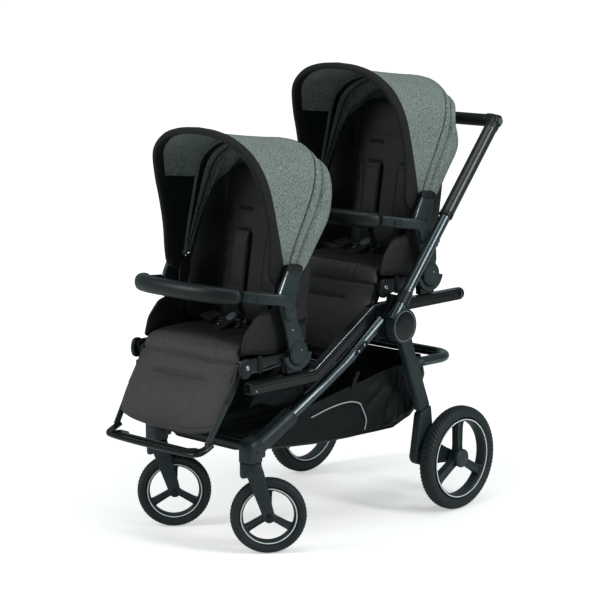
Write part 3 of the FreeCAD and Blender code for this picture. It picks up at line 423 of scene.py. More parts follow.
def cell_corners(grid):
    """The four corners of each cell of a grid, in order round the cell."""
    return np.stack([grid[:-1, :-1], grid[:-1, 1:], grid[1:, 1:], grid[1:, :-1]], 2)


def mirrored(half):
    """A line that ends on the middle plane, followed by its mirror image."""
    return np.vstack([half, (half * [-1.0, 1.0, 1.0])[-2::-1]])


def sided(profile, side):
    """A turned profile for the left (1) or right (-1) side: its distances change sign."""
    return [(side * along, radius) for along, radius in profile]


def rounded_end(share, least):
    """The size of a section near an end: a quarter circle from the end (0) to full size (1)."""
    return np.sqrt(np.clip(1 - (1 - share).clip(0, 1) ** 2, least, 1))


def stacked(ring, levels):
    """Rows of the same flat ring at (level, size) pairs, one above the other."""
    return np.stack([np.column_stack([ring * size, np.full(len(ring), level)])
                     for level, size in levels])


def on_plane(middle, out, along, aside, ring, levels):
    """Rows of a ring that lies in the plane of along and aside, at (lift, size) pairs."""
    return np.stack([middle + out * lift + ring[:, :1] * size * along + ring[:, 1:] * size * aside
                     for lift, size in levels])


def unit(way):
    """The same direction, or each row's direction, with length 1."""
    way = np.asarray(way, float)
    return way / np.linalg.norm(way, axis=-1, keepdims=True)


def smooth_step(value, low, high):
    """0 below low, 1 above high, and 3t^2 - 2t^3 between them."""
    t = np.clip((value - low) / (high - low), 0.0, 1.0)
    return t * t * (3 - 2 * t)


class Surfaces:
    """The surfaces of one piece: points in millimetres, faces, cloth coordinates in metres and
    the finish of each face."""

    def __init__(self):
        self.points, self.faces, self.maps, self.marks, self.finishes = [], [], [], [], []
        self.count = 0

    def put(self, points, faces, maps, finish, closed):
        """Adds faces given as arrays of corner numbers; a closed set is turned to face out."""
        if closed:
            volume = sum(np.einsum("ij,ij->i", points[f[:, 0]],
                                   np.cross(points[f[:, k]], points[f[:, k + 1]])).sum()
                         for f in faces for k in range(1, f.shape[1] - 1))
            if volume < 0:
                faces = [f[:, ::-1] for f in faces]
                maps = [m[:, ::-1] for m in maps]
        if finish not in self.finishes:
            self.finishes.append(finish)
        for f, m in zip(faces, maps):
            self.faces.append(f + self.count)
            self.maps.append(m.reshape(-1, 2))
            self.marks.append(np.full(len(f), self.finishes.index(finish)))
        self.points.append(points)
        self.count += len(points)

    def grid(self, points, finish, around=False, loop=False, ends=False, flip=False):
        """Quads between the rows and columns of a grid of points. around joins the last column
        to the first, loop the last row to the first, ends fans the end rows to their middles."""
        rows, columns = points.shape[:2]
        index = np.arange(rows * columns).reshape(rows, columns)
        wide = points
        if around:
            index = np.concatenate([index, index[:, :1]], 1)
            wide = np.concatenate([wide, wide[:, :1]], 1)
        if loop:
            index = np.concatenate([index, index[:1]], 0)
            wide = np.concatenate([wide, wide[:1]], 0)
        cloth = np.stack([lengths_along(wide, 1), lengths_along(wide, 0)], 2)
        quads = cell_corners(index).reshape(-1, 4)
        spots = np.stack([cell_corners(cloth[..., k]) for k in (0, 1)], 3).reshape(-1, 4, 2)
        flat = points.reshape(-1, 3)
        faces, maps = [quads], [spots]
        if ends:
            flat = np.vstack([flat, points[0].mean(0), points[-1].mean(0)])
            for row, middle, turn in ((0, rows * columns, 1), (rows - 1, rows * columns + 1, -1)):
                ring = index[row]
                fan = np.stack([np.full(len(ring) - 1, middle), ring[1:], ring[:-1]], 1)[:, ::turn]
                size = np.ptp(points[row], axis=0)
                keep = np.sort(np.argsort(size)[1:])
                faces.append(fan)
                maps.append(flat[fan][..., keep] * MM)
        if flip:
            faces = [f[:, ::-1] for f in faces]
            maps = [m[:, ::-1] for m in maps]
        self.put(flat, faces, maps, finish, around and (ends or loop))

    def plate(self, outline, low, high, finish, edge=2.0, axis=0, steps=4):
        """A flat plate between two levels of one axis, its outline in the other two and its
        edges rounded: quarter circles whose points are the outline moved inwards."""
        area = 0.5 * np.sum(outline[:, 0] * np.roll(outline[:, 1], -1)
                            - outline[:, 1] * np.roll(outline[:, 0], -1))
        outline = outline if area > 0 else outline[::-1]
        low, high = min(low, high), max(low, high)
        edge = min(edge, (high - low) / 2 - 0.01)
        turn = np.linspace(math.pi / 2, 0.0, steps)
        inward = np.concatenate([edge * (1 - np.cos(turn)), (edge * (1 - np.cos(turn)))[::-1]])
        level = np.concatenate([low + edge * (1 - np.sin(turn)),
                                (high - edge * (1 - np.sin(turn)))[::-1]])
        rows = np.stack([np.column_stack([inset(outline, d), np.full(len(outline), h)])
                         for d, h in zip(inward, level)])
        order = {0: [2, 0, 1], 1: [0, 2, 1], 2: [0, 1, 2]}[axis]
        rows = rows[..., order]
        count, columns = rows.shape[:2]
        index = np.arange(count * columns).reshape(count, columns)
        index = np.concatenate([index, index[:, :1]], 1)
        flat = rows.reshape(-1, 3)
        lids = [index[0, -2::-1][None], index[-1, :-1][None]]
        keep = [k for k in range(3) if k != axis]
        faces = [cell_corners(index).reshape(-1, 4)] + lids
        self.put(flat, faces, [flat[f][..., keep] * MM for f in faces], finish, True)

    def slab(self, corners, radius, side, levels, finish, edge):
        """A plate across the X axis on one side of the part, its corners softened."""
        self.plate(softened(corners, radius), side * levels[0], side * levels[1], finish, edge)

    def sweep(self, path, section, finish, up=(0, 0, 1)):
        """A closed section carried along a path. Its first number goes to the side, which is the
        path's direction crossed with up, and its second at right angles to both."""
        path = np.asarray(path, float)
        section = np.asarray(section, float)
        if section.ndim == 2:
            section = np.broadcast_to(section, (len(path), *section.shape))
        way = unit(np.gradient(path, axis=0))
        side = unit(np.cross(way, np.broadcast_to(np.asarray(up, float), way.shape)))
        rise = np.cross(side, way)
        points = (path[:, None] + side[:, None] * section[..., :1]
                  + rise[:, None] * section[..., 1:2])
        self.grid(points, finish, around=True, ends=True)

    def turned(self, profile, centre, axis, finish, steps=48, loop=False, ends=True):
        """A profile of (distance along the axis, radius) turned about the axis."""
        axis = unit(axis)
        aside = unit(np.cross(axis, (0.0, 0.0, 1.0) if abs(axis[2]) < 0.9 else (0.0, 1.0, 0.0)))
        third = np.cross(axis, aside)
        t = np.linspace(0.0, 2 * math.pi, steps, endpoint=False)
        ring = np.cos(t)[:, None] * aside + np.sin(t)[:, None] * third
        profile = np.asarray(profile, float)
        points = (np.asarray(centre, float) + profile[:, None, :1] * axis
                  + profile[:, None, 1:2] * ring[None])
        self.grid(points, finish, around=True, loop=loop, ends=ends and not loop)

    def box(self, middle, half, finish, power=5.0, edge=0.18):
        """A soft-edged block: superellipse rows whose size rounds off at both ends."""
        turn = np.linspace(-math.pi / 2, math.pi / 2, 11)
        level = np.sign(np.sin(turn)) * np.abs(np.sin(turn)) ** edge
        size = np.abs(np.cos(turn)) ** edge
        size[[0, -1]] = 0.6
        rows = stacked(oval(half[0], half[1], power, 32), zip(half[2] * level, size))
        self.grid(rows + np.asarray(middle, float), finish, around=True, ends=True)


def piece(name, shape, body, replaces=(), slot=None, crisp=38.0, solid=0.0, rim=True):
    """Writes the surfaces as one mesh that stands for CAD nodes. The body is a name to ride on;
    with two names and two points, or None, the mesh stays where it is."""
    mesh = bpy.data.meshes.new(name)
    points = np.vstack(shape.points) * MM
    faces = [row for block in shape.faces for row in block.tolist()]
    mesh.from_pydata(points.tolist(), [], faces)
    layer = mesh.uv_layers.new(name="cloth")
    layer.data.foreach_set("uv", np.concatenate(shape.maps).astype(np.float32).ravel())
    for finish in shape.finishes:
        mesh.materials.append(finish)
    mesh.polygons.foreach_set("material_index", np.concatenate(shape.marks).astype(np.int32))
    mesh.polygons.foreach_set("use_smooth", np.ones(len(mesh.polygons), bool))
    mesh.set_sharp_from_angle(angle=math.radians(crisp))
    mesh.update()
    thing = placed(name, mesh)
    if solid:
        wall = thing.modifiers.new("wall", "SOLIDIFY")
        wall.thickness, wall.offset, wall.use_rim = solid * MM, 0.0, rim
    if isinstance(body, str):
        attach(thing, body)
    elif body:
        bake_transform(thing)
    if replaces:
        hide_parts(*replaces)
    return thing


def clad(node_name, finish):
    """Gives a CAD node's own mesh a finish."""
    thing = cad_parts[node_name]
    for place in thing.material_slots:
        place.material = finish


def floor():
    """The pale floor under the wheels."""
    mesh = bpy.data.meshes.new("floor")
    mesh.from_pydata([(-40, -40, 0), (40, -40, 0), (40, 40, 0), (-40, 40, 0)], [], [(0, 1, 2, 3)])
    mesh.materials.append(floor_paint)
    placed("floor", mesh)


# ---------------------------------------------------------------------------------------------
# Wheels and casters
# ---------------------------------------------------------------------------------------------
MIDDLE = (0.0, 0.0, 0.0)
X_AXIS = (1.0, 0.0, 0.0)
SWING = math.radians(40.0)  # how far both casters are turned
STEM_SIDE, STEM_BACK = 173.0, -344.0
CASTER = {word: np.array([side * STEM_SIDE, STEM_BACK, 0.0]) for word, side in SIDES}
TRAIL = 44.0
FRONT_RADIUS, REAR_RADIUS = 97.0, 141.0
REAR_WHEEL_SIDE, REAR_AXLE_BACK = 283.0, 330.0


def swung(shape, centre):
    """Turns the gathered points of a caster by its swing about the vertical and moves them."""
    c, s = math.cos(SWING), math.sin(SWING)
    turn = np.array([[c, s, 0.0], [-s, c, 0.0], [0.0, 0.0, 1.0]])
    shape.points = [p @ turn.T for p in shape.points]
    return moved(shape, centre)


def moved(shape, centre):
    """Moves the gathered points to their place."""
    shape.points = [p + centre for p in shape.points]
    return shape


def joined(shapes):
    """Several gathered shapes as one."""
    whole = Surfaces()
    for shape in shapes:
        for faces, maps, marks in zip(shape.faces, shape.maps, shape.marks):
            finish = shape.finishes[marks[0]]
            if finish not in whole.finishes:
                whole.finishes.append(finish)
            whole.faces.append(faces + whole.count)
            whole.maps.append(maps)
            whole.marks.append(np.full(len(faces), whole.finishes.index(finish)))
        whole.points += shape.points
        whole.count += shape.count
    return whole


def tyre(radius, half, depth, blocks):
    """A tyre about the X axis: a superellipse section turned round, its tread lowered by
    2 mm where a wave that runs round and slants outwards from the middle is low."""
    shape = Surfaces()
    rounds, across = blocks * 8, 44
    theta = np.linspace(0.0, 2 * math.pi, rounds, endpoint=False)[:, None]
    phi = np.linspace(0.0, 2 * math.pi, across, endpoint=False)[None]
    c, s = np.cos(phi), np.sin(phi)
    rise = np.sign(c) * np.abs(c) ** 0.85
    aside = np.sign(s) * np.abs(s) ** 0.80
    phase = np.mod(blocks * theta / (2 * math.pi) + 1.5 * np.abs(aside), 1.0)
    groove = smooth_step(phase, 0.0, 0.2) * (1 - smooth_step(phase, 0.45, 0.7))
    tread = smooth_step(rise, 0.30, 0.62)
    middle = np.exp(-(aside / 0.06) ** 2)
    drop = 1.9 * tread * np.maximum(groove * (1 - middle), 0.6 * middle)
    out = radius - depth / 2 + (depth / 2) * rise - drop + 0 * theta
    flat = half * aside + 0 * theta
    points = np.stack([flat, out * np.sin(theta), out * np.cos(theta)], 2)
    shape.grid(points, tyre_rubber, around=True, loop=True)
    return shape


def rim(inner, lip, hub, hub_half, arm, cap):
    """A dished band, three channelled spokes that flare at both ends, and a hub; cap is the side
    that carries a domed cover, or 0 for none."""
    shape = Surfaces()
    band = [(-lip, inner + 1.5), (-lip - 0.4, inner - 3), (-lip + 1.2, inner - 5.5),
            (-lip + 5, inner - 7), (0, inner - 8), (lip - 5, inner - 7), (lip - 1.2, inner - 5.5),
            (lip + 0.4, inner - 3), (lip, inner + 1.5)]
    shape.turned(band, MIDDLE, X_AXIS, rim_plastic, 120, loop=True)
    for side in (1, -1):
        ring = sided([(lip - 0.5, inner - 2.9), (lip + 0.9, inner - 2.7),
                      (lip + 0.9, inner - 0.5), (lip - 0.5, inner - 0.3)], side)
        shape.turned(ring, MIDDLE, X_AXIS, ring_paint, 120, loop=True)
    out = np.linspace(hub - 3.0, inner - 4.0, 18)
    share = np.linspace(-1.0, 1.0, 18)
    wide = arm * (0.82 + 0.10 * share + 0.30 * np.abs(share) ** 6)
    deep = lip * (0.62 + 0.16 * np.abs(share) ** 5)
    loop = softened([(-1, -1), (1, -1), (1, 1), (0.66, 1), (0.52, 0.62), (-0.52, 0.62),
                     (-0.66, 1), (-1, 1)], 0.10, 3)
    for step in range(3):
        a = 2 * math.pi * step / 3
        way = np.array([0, -math.sin(a), math.cos(a)])
        aside = np.array([0, math.cos(a), math.sin(a)])
        points = (out[:, None, None] * way + (wide[:, None] * loop[:, 0])[..., None] * aside
                  + (deep[:, None] * loop[:, 1])[..., None] * np.array([1.0, 0, 0]))
        shape.grid(points, rim_plastic, around=True, ends=True)
    shape.turned([(-hub_half, 0.4), (-hub_half, hub - 1), (-hub_half + 1, hub),
                  (hub_half - 1, hub), (hub_half, hub - 1), (hub_half, 0.4)], MIDDLE, X_AXIS,
                 rim_plastic, 40)
    if cap:
        face = sided([(8, 0.4), (8, 24), (17, 25.5), (19, 25), (20, 23.6), (19.4, 22.6),
                      (20.6, 21.4), (22.4, 16), (23, 8), (23, 0.4)], cap)
        shape.turned(face, MIDDLE, X_AXIS, rim_plastic, 48)
    return shape


def caster_fork():
    """The fork about its stem: crown, two tapered arms, shoulder rings and axle caps. The crown
    is a rounded square whose lower edge slants up towards the back."""
    shape = Surfaces()
    ring = oval(26.0, 27.0, 3.4, 40)
    low = 196.0 + 0.26 * (ring[:, 1] + 27.0)
    top = 234.2
    rows = [np.column_stack([ring * size, low + share * (top - low)]) for share, size in
            ((0.0, 0.90), (0.05, 0.97), (0.12, 1.0), (0.93, 1.0), (0.97, 0.985), (1.0, 0.95))]
    shape.grid(np.stack(rows), casting, around=True, ends=True)
    axle = (0, TRAIL, FRONT_RADIUS)
    arm = capsule((9.0, 211.0), axle[1:], 22.0, 14.5)
    for side in (1, -1):
        shape.plate(arm, side * 20.2, side * 29.0, casting, 3.4)
        shape.turned([(side * 27, 0.4), (side * 27, 19.5), (side * 30.0, 19.0),
                      (side * 30.8, 17.5), (side * 31.0, 0.4)], (0, 9.0, 211.0), X_AXIS, casting)
        shape.turned([(side * 28, 0.4), (side * 28, 9.5), (side * 30.4, 9.3), (side * 31, 8.4),
                      (side * 30.4, 7.4), (side * 30.4, 5.6), (side * 32.2, 5.2),
                      (side * 32.6, 4.4), (side * 32.6, 0.4)], axle, X_AXIS, dark_plastic, 32)
    shape.turned([(-20.4, 0.4), (-20.4, 6), (20.4, 6), (20.4, 0.4)], axle, X_AXIS, silver, 24)
    return shape


def wheels():
    """Two rear wheels and two casters with their wheels."""
    for word, side in SIDES:
        centre = np.array([side * REAR_WHEEL_SIDE, REAR_AXLE_BACK, REAR_RADIUS])
        piece("rear_tyre_tread_" + word, moved(tyre(REAR_RADIUS, 21.0, 34.0, 74), centre),
              "rear_wheel_" + word[0], ["rear_tyre_" + word], "tyre", 50)
        piece("rear_rim_spokes_" + word, moved(rim(107.0, 17.0, 15.0, 19.0, 12.5, side), centre),
              "rear_wheel_" + word[0], ["rear_rim_" + word], "rim_plastic")
        stem = CASTER[word]
        hub = stem + [TRAIL * math.sin(SWING), TRAIL * math.cos(SWING), FRONT_RADIUS]
        piece("front_tyre_tread_" + word, swung(tyre(FRONT_RADIUS, 18.0, 25.0, 60), hub),
              "front_wheel_" + word[0], ["front_tyre_" + word], "tyre", 50)
        piece("front_rim_spokes_" + word, swung(rim(72.0, 14.0, 12.0, 18.0, 10.0, 0), hub),
              "front_wheel_" + word[0], ["front_rim_" + word], "rim_plastic")
        piece("caster_fork_arms_" + word, swung(caster_fork(), stem), "caster_" + word[0],
              ["caster_fork_" + word], "casting")


# ---------------------------------------------------------------------------------------------
# Chassis: front castings, tubes, hub, rails, rear legs and handle
# ---------------------------------------------------------------------------------------------
def arc_line(corners, radius, steps=8):
    """An open line whose inner corners are quadratic curves."""
    p = np.asarray(corners, float)
    if len(p) < 3:
        return p
    inner = softened(p, radius, steps).reshape(len(p), steps, -1)[1:-1].reshape(-1, p.shape[1])
    return np.vstack([p[0], inner, p[-1]])


HUB = np.array([135.0, 524.0])


def front_casting(side):
    """The caster housing: a rounded square post, the sleeve that holds the front tube and
    rounds off at its lower end, a lever tab behind, and the seam ring at the sleeve's mouth."""
    shape = Surfaces()
    ring = oval(25.0, 26.5, 3.2, 40)
    rows = stacked(ring, ((235.4, 0.94), (236.4, 1.0), (262.0, 1.0), (278.0, 1.0), (287.0, 0.93),
                          (291.0, 0.78)))
    rows[..., 2] += np.clip((rows[..., 2] - 262.0) / 29.0, 0, 1) * 0.16 * rows[..., 1]
    shape.grid(rows + [side * STEM_SIDE, STEM_BACK, 0.0], casting, around=True, ends=True)
    path = eased([(side * 172.5, -352, 262), (side * 173, -325, 270), (side * 174.2, -280, 291),
                  (side * 176, -205, 330)], 40)
    size = rounded_end(np.linspace(0, 39, 40) / 6.0, 0.05)
    section = oval(21.5, 22.5, 2.3, 32)[None] * size[:, None, None]
    shape.sweep(path, section, casting)
    way = unit(path[-1] - path[-4])
    shape.turned([(-5.0, 20.0), (-5.0, 22.8), (-0.5, 22.8), (0.6, 22.0), (0.6, 16.2)], path[-1],
                 way, casting, 40, ends=False)
    tab = softened([(-14, -15), (14, -15), (14, 15), (-14, 15)], 9)
    shape.plate(tab + [side * STEM_SIDE, 255.0], -319.0, -303.0, casting, 4.0, axis=1)
    shape.turned([(0.0, 0.4), (0.0, 4.6), (1.2, 4.2), (1.8, 2.5), (1.8, 0.4)],
                 (side * 197.6, STEM_BACK, 262), (side, 0, 0), dark_plastic, 20)
    return shape


def latch(side):
    """The oblong latch recess on the front tube's outer face and its two bright rivets."""
    shape = Surfaces()
    way = unit([15.0, 126.0, 98.0])
    middle = np.array([side * 205.0, 16.0, 478.0])
    along = np.array([side * way[0], way[1], way[2]])
    out = unit([side * 1.0, -0.12, 0.0])
    aside = np.cross(along, out)
    ring = oval(25.0, 7.5, 3.0, 36)
    levels = ((8.0, 1.0), (15.6, 1.0), (16.6, 0.94), (16.6, 0.80), (15.2, 0.74))
    rows = on_plane(middle, out, along, aside, ring, levels)
    shape.grid(rows, dark_plastic, around=True, ends=True)
    for spot in (-12.0, 12.0):
        shape.turned([(14.0, 0.3), (14.0, 3.6), (16.6, 3.4), (17.4, 2.2), (17.6, 0.3)],
                     middle + along * spot, out, silver, 20)
    return shape


def hub_cap(side):
    """The round cover on the fold hub: a moulded edge, a pale ring and a plain dark face."""
    shape = Surfaces()
    place = (side * 258.4, *HUB)
    edge = [(0, 0.4), (0, 45.0), (1.0, 46.0), (3.2, 46.0), (4.4, 44.8), (4.6, 42.0), (3.6, 41.0),
            (3.4, 0.4)]
    ring = [(3.0, 38.6), (4.1, 38.8), (4.1, 40.4), (3.0, 40.6)]
    face = [(2.8, 0.4), (3.7, 38.4), (4.0, 37.6), (4.3, 20), (4.4, 0.4)]
    for profile, finish in ((edge, casting), (ring, silver), (face, gloss_black)):
        shape.turned(sided(profile, side), place, X_AXIS, finish, 72, loop=profile is ring)
    return shape


RAIL_LINE = [(-376.0, 430.0), (-147.0, 430.0), (75.0, 567.0), (425.0, 567.0)]


def rail(side):
    """The bent seat rail: a box section with a groove along both faces, carried along the line,
    a thin silver line on the outer top edge of its slope that is a painted highlight, and an open
    front end with a rivet."""
    shape = Surfaces()
    path = arc_line([(side * 200.0, y, z) for y, z in RAIL_LINE], 9.0)
    half = [(0, -15), (11.5, -15), (13, -13.5), (13, 2.5), (11.0, 3.5), (11.0, 6.5), (13, 7.5),
            (13, 13), (11.5, 15), (0, 15)]
    section = np.array(half + [(-a, b) for a, b in half[-2:0:-1]], float)
    shape.sweep(path, section, gloss_black)
    # Painted highlight: a thin silver line along the outer top edge of the slope stands for the
    # glint on the rail.
    slope = arc_line([(side * 212.2, -176.0, 445.6), (side * 212.2, -151.5, 445.6),
                      (side * 212.2, 70.5, 582.2), (side * 212.2, 96.0, 582.2)], 9.0)
    shape.sweep(slope, oval(0.9, 0.9, 2.0, 10), silver)
    shape.plate(softened([(side * 200 - 12.4, 415.6), (side * 200 + 12.4, 415.6),
                          (side * 200 + 12.4, 444.4), (side * 200 - 12.4, 444.4)], 3),
                -378.8, -375.6, casting, 1.2, axis=1)
    shape.plate(softened([(side * 200 - 9.4, 419), (side * 200 + 9.4, 419),
                          (side * 200 + 9.4, 441), (side * 200 - 9.4, 441)], 2),
                -379.4, -376.0, gloss_black, 0.4, axis=1)
    shape.turned([(-1.0, 0.3), (-1.0, 3.2), (1.0, 2.8), (1.4, 0.3)], (side * 213.0, -362, 424),
                 (side, 0, 0), silver, 18)
    return shape


def rail_end(side):
    """The round cap on the rail's rear end with its bright ring."""
    shape = Surfaces()
    at = (side * 200.0, 425.0, 567.0)
    shape.turned([(-3, 0.4), (-3, 15.6), (0, 16.5), (7.0, 16.5), (9.4, 15.0), (10.0, 11.0),
                  (9.2, 9.5), (9.0, 0.4)], at, (0, 1, 0), gloss_black, 40)
    shape.turned([(8.6, 10.6), (10.2, 10.8), (10.2, 12.6), (8.6, 12.8)], at, (0, 1, 0), silver,
                 40, loop=True)
    shape.turned([(-4.2, 15.8), (-4.2, 17.0), (-2.6, 17.0), (-2.6, 15.8)], at, (0, 1, 0), silver,
                 40, loop=True)
    return shape


LEG = np.array([94.0, -237.0])
LEG_LONG = float(np.hypot(*LEG))
LEG_WAY = LEG / LEG_LONG
LEG_ASIDE = np.array([-LEG_WAY[1], LEG_WAY[0]])


def on_leg(along, aside):
    """A point of the rear leg's outline from its distances along and across the leg."""
    return tuple(HUB + LEG_WAY * along + LEG_ASIDE * aside)


def rear_leg(side):
    """The hub drum, the flat leg whose edges are rounded, and the boss for the basket hoop."""
    shape = Surfaces()
    drum = [(230.6, 0.4), (230.6, 42), (232.5, 44), (255.5, 44), (257.6, 42.4), (258.0, 40),
            (258.0, 0.4)]
    shape.turned(sided(drum, side), (0, *HUB), X_AXIS, casting, 64)
    outline = [on_leg(14, 23), on_leg(14, -23), on_leg(70, -20.5), on_leg(LEG_LONG, -21),
               on_leg(LEG_LONG, 21), on_leg(70, 19.5)]
    shape.slab(outline, (10, 10, 30, 8, 8, 30), side, (233.2, 256.8), casting, 5.5)
    shape.turned([(0, 0.4), (0, 12.4), (24, 12.4), (27, 14.6), (33, 14.6), (34, 13.4)],
                 (side * 245.0, 185.0, 415.0), (0, 1, 0), casting, 32, ends=False)
    return shape


def rear_foot(side):
    """The casting below the leg's seam: it runs down, forwards to a round boss and back to the
    stub axle."""
    shape = Surfaces()
    up, back = REAR_RADIUS, REAR_AXLE_BACK
    outline = [on_leg(LEG_LONG + 0.5, -24), on_leg(LEG_LONG + 0.5, 24), (back - 66, up + 58),
               (back - 8, up + 23), (back + 14, up + 14), (back + 18, up), (back + 12, up - 14),
               (back - 4, up - 18), (back - 90, up - 9), (back - 126, up - 3),
               (back - 140, up + 8), (back - 141, up + 24)]
    radii = (8, 8, 30, 20, 9, 9, 9, 14, 20, 12, 9, 12)
    shape.slab(outline, radii, side, (232.2, 257.8), casting, 5.0)
    for face, way in ((side * 257.8, side), (side * 232.2, -side)):
        shape.turned([(-3, 0.4), (-3, 19.6), (1.4, 19.0), (2.4, 17.4), (2.0, 14.0), (2.6, 12.8),
                      (3.0, 0.4)], (face, 212.0, 160.0), (way, 0, 0), casting, 40)
    axle = [(255, 0.4), (255, 17), (260, 16), (263, 6.2), (300, 6.0), (300, 0.4)]
    shape.turned(sided(axle, side), (0, back, up), X_AXIS, casting, 32)
    guard = [(238, 176), (262, 164), (300, 174), (292, 196), (262, 206)]
    shape.slab(guard, 8, side, (226.0, 233.0), dark_plastic, 2.5)
    return shape


def brake():
    """The pedal: a round boss, a curved arm and a ribbed tread."""
    shape = Surfaces()
    shape.turned([(-231.2, 0.4), (-231.2, 13), (-230, 14), (-210.6, 14), (-209.5, 13),
                  (-209.5, 0.4)], (0, 212, 159), X_AXIS, dark_plastic, 36)
    arm = [(208, 166), (218, 151), (262, 158), (304, 181), (302, 191), (270, 193), (240, 176)]
    shape.plate(softened(arm, 8), -231.0, -211.6, dark_plastic, 3.0)
    for k in range(4):
        y = 272.0 + 8.0 * k
        shape.plate(softened([(y, 191.5), (y + 3.5, 191.2), (y + 3.5, 194), (y, 194.2)], 1, 3),
                    -229.5, -213.0, casting, 0.8)
    return shape


HANDLE_SIDE = 245.0
HANDLE_FOOT = (144, 591)
HANDLE_WAY = np.array([0.0, 0.643, 0.766])


def on_handle(side, along):
    """A point on a push tube's middle line."""
    return (side * HANDLE_SIDE, HANDLE_FOOT[0] + HANDLE_WAY[1] * along,
            HANDLE_FOOT[1] + HANDLE_WAY[2] * along)


def handle_corner(side):
    """The elbow between the sleeve and the grip, with a collar ring at each mouth and the round
    seat of the height button."""
    shape = Surfaces()
    top = np.array([side * HANDLE_SIDE, 515.0, 1033.0])
    way = HANDLE_WAY
    path = arc_line([top - way * 23, top, top - [side * 21.0, 0, 0]], 20.0, 12)
    shape.sweep(evenly(path, 28), oval(18.9, 18.9, 2.2, 36), dark_plastic, up=(0.3, 1, -0.8))
    for spot, out in ((top - way * 23, -way), (top - [side * 21.0, 0, 0], [-side, 0, 0])):
        shape.turned([(-2, 17.0), (-2, 19.6), (1.6, 19.6), (2.4, 18.6), (2.4, 16.0)], spot, out,
                     casting, 40, ends=False)
    shape.turned([(2, 9.4), (2, 17.6), (15, 16.4), (17.6, 13.6), (18.0, 10.6), (16, 9.4)], top,
                 (side, 0, 0), dark_plastic, 40, loop=True)
    return shape


def chassis():
    """Everything rigid below the seats."""
    for word, side in SIDES:
        piece("front_housing_" + word, front_casting(side), "chassis", ["front_casting_" + word],
              "casting")
        piece("tube_latch_" + word, latch(side), "chassis")
        piece("seat_rail_" + word, rail(side), "chassis", ["rail_" + word], "gloss_black")
        piece("rear_leg_blade_" + word, rear_leg(side), "rear_frame", ["rear_leg_" + word],
              "casting")
        piece("rear_foot_casting_" + word, rear_foot(side), "rear_frame", ["rear_foot_" + word],
              "casting")
        clad("front_tube_" + word, gunmetal)
        clad("hub_casting_" + word, dark_plastic)
        clad("height_button_" + word, button_grey)
        collar = Surfaces()
        collar.turned([(-86, 0.4), (-86, 15.6), (-10, 15.6), (-9, 16.6), (8, 16.8), (9, 15.3)],
                      on_handle(side, 22), HANDLE_WAY, gunmetal, 40)
        piece("push_tube_collar_" + word, collar, "chassis")
        lip = Surfaces()
        lip.turned([(-2.5, 15.6), (-2.5, 18.6), (0, 19.0), (9, 19.0), (10.5, 18.0)],
                   on_handle(side, 266), HANDLE_WAY, dark_plastic, 40, ends=False)
        piece("sleeve_lip_" + word, lip, "handle")
    piece("hub_covers", joined([hub_cap(s) for _, s in SIDES]), "chassis", ["hub_discs"],
          "casting")
    piece("rail_end_caps", joined([rail_end(s) for _, s in SIDES]), "chassis", ["rail_caps"],
          "gloss_black")
    piece("handle_elbows", joined([handle_corner(s) for _, s in SIDES]), "handle",
          ["handle_corners"], "black_tube")
    piece("brake_pedal_arm", brake(), "brake", ["brake_pedal"], "casting")
    for node, finish in (("push_tubes", gunmetal), ("handle_sleeves", black_tube),
                         ("handle_grip", grip_foam), ("basket_hoop", gunmetal),
                         ("front_crossbar", dark_plastic), ("hub_crossbar", gunmetal)):
        clad(node, finish)


# ---------------------------------------------------------------------------------------------
# Cloth tools
# ---------------------------------------------------------------------------------------------
def dipped(distance, width, depth):
    """The depth of a sewn line at a distance from it: a bell that falls off over its width."""
    return depth * np.exp(-(distance / width) ** 2)


def subdivided(thing):
    """One step of subdivision."""
    smooth = thing.modifiers.new("smooth", "SUBSURF")
    smooth.levels = smooth.render_levels = 1


PUFF_FRAMES = 20


def puffed(thing, pins, cap):
    """Blows the pad up a little with cloth pressure while its seam points stay, and keeps each
    point within cap millimetres of where it started; then one subdivision."""
    group = thing.vertex_groups.new(name="sewn")
    for share in np.unique(np.round(pins, 1)):
        if share > 0:
            chosen = np.nonzero(np.round(pins, 1) == share)[0].tolist()
            group.add(chosen, float(share), "REPLACE")
    cloth = thing.modifiers.new("cloth", "CLOTH")
    cloth.settings.use_pressure = True
    cloth.settings.uniform_pressure_force = 4.0
    cloth.settings.effector_weights.gravity = 0.0
    cloth.settings.vertex_group_mass = "sewn"
    cloth.settings.tension_stiffness = cloth.settings.compression_stiffness = 12.0
    cloth.settings.bending_stiffness = 0.4
    scene = bpy.context.scene
    for step in range(1, PUFF_FRAMES + 1):
        scene.frame_set(step)
    view = bpy.context.evaluated_depsgraph_get()
    blown = np.empty(len(thing.data.vertices) * 3, np.float32)
    thing.evaluated_get(view).data.vertices.foreach_get("co", blown)
    start = np.empty_like(blown)
    thing.data.vertices.foreach_get("co", start)
    move = (blown - start).reshape(-1, 3)
    far = np.linalg.norm(move, axis=1, keepdims=True)
    move *= np.minimum(1.0, cap * MM / np.maximum(far, 1e-9))
    thing.modifiers.remove(cloth)
    thing.data.vertices.foreach_set("co", (start.reshape(-1, 3) + move).ravel())
    thing.data.update()
    scene.frame_set(1)
    subdivided(thing)


def twin(thing, name, at, replaces):
    """The same pad for the other seat: a copy of the mesh with every point moved by the step."""
    mesh = thing.data.copy()
    mesh.name = name
    points = np.empty(len(mesh.vertices) * 3, np.float32)
    mesh.vertices.foreach_get("co", points)
    mesh.vertices.foreach_set("co", (points.reshape(-1, 3) + np.asarray(at) * MM).ravel())
    mesh.update()
    other = placed(name, mesh)
    subdivided(other)
    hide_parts(*replaces)
    return other


def sheet(name, rows, finish, body, held, rests_on, replaces=(), slot=None, flip=False, **wall):
    """A piece of one cloth grid."""
    shape = Surfaces()
    shape.grid(rows, finish, flip=flip)
    piece(name, shape, body, replaces, slot, **wall)


def metres(x, y, z):
    """A point in metres."""
    return (x * MM, y * MM, z * MM)


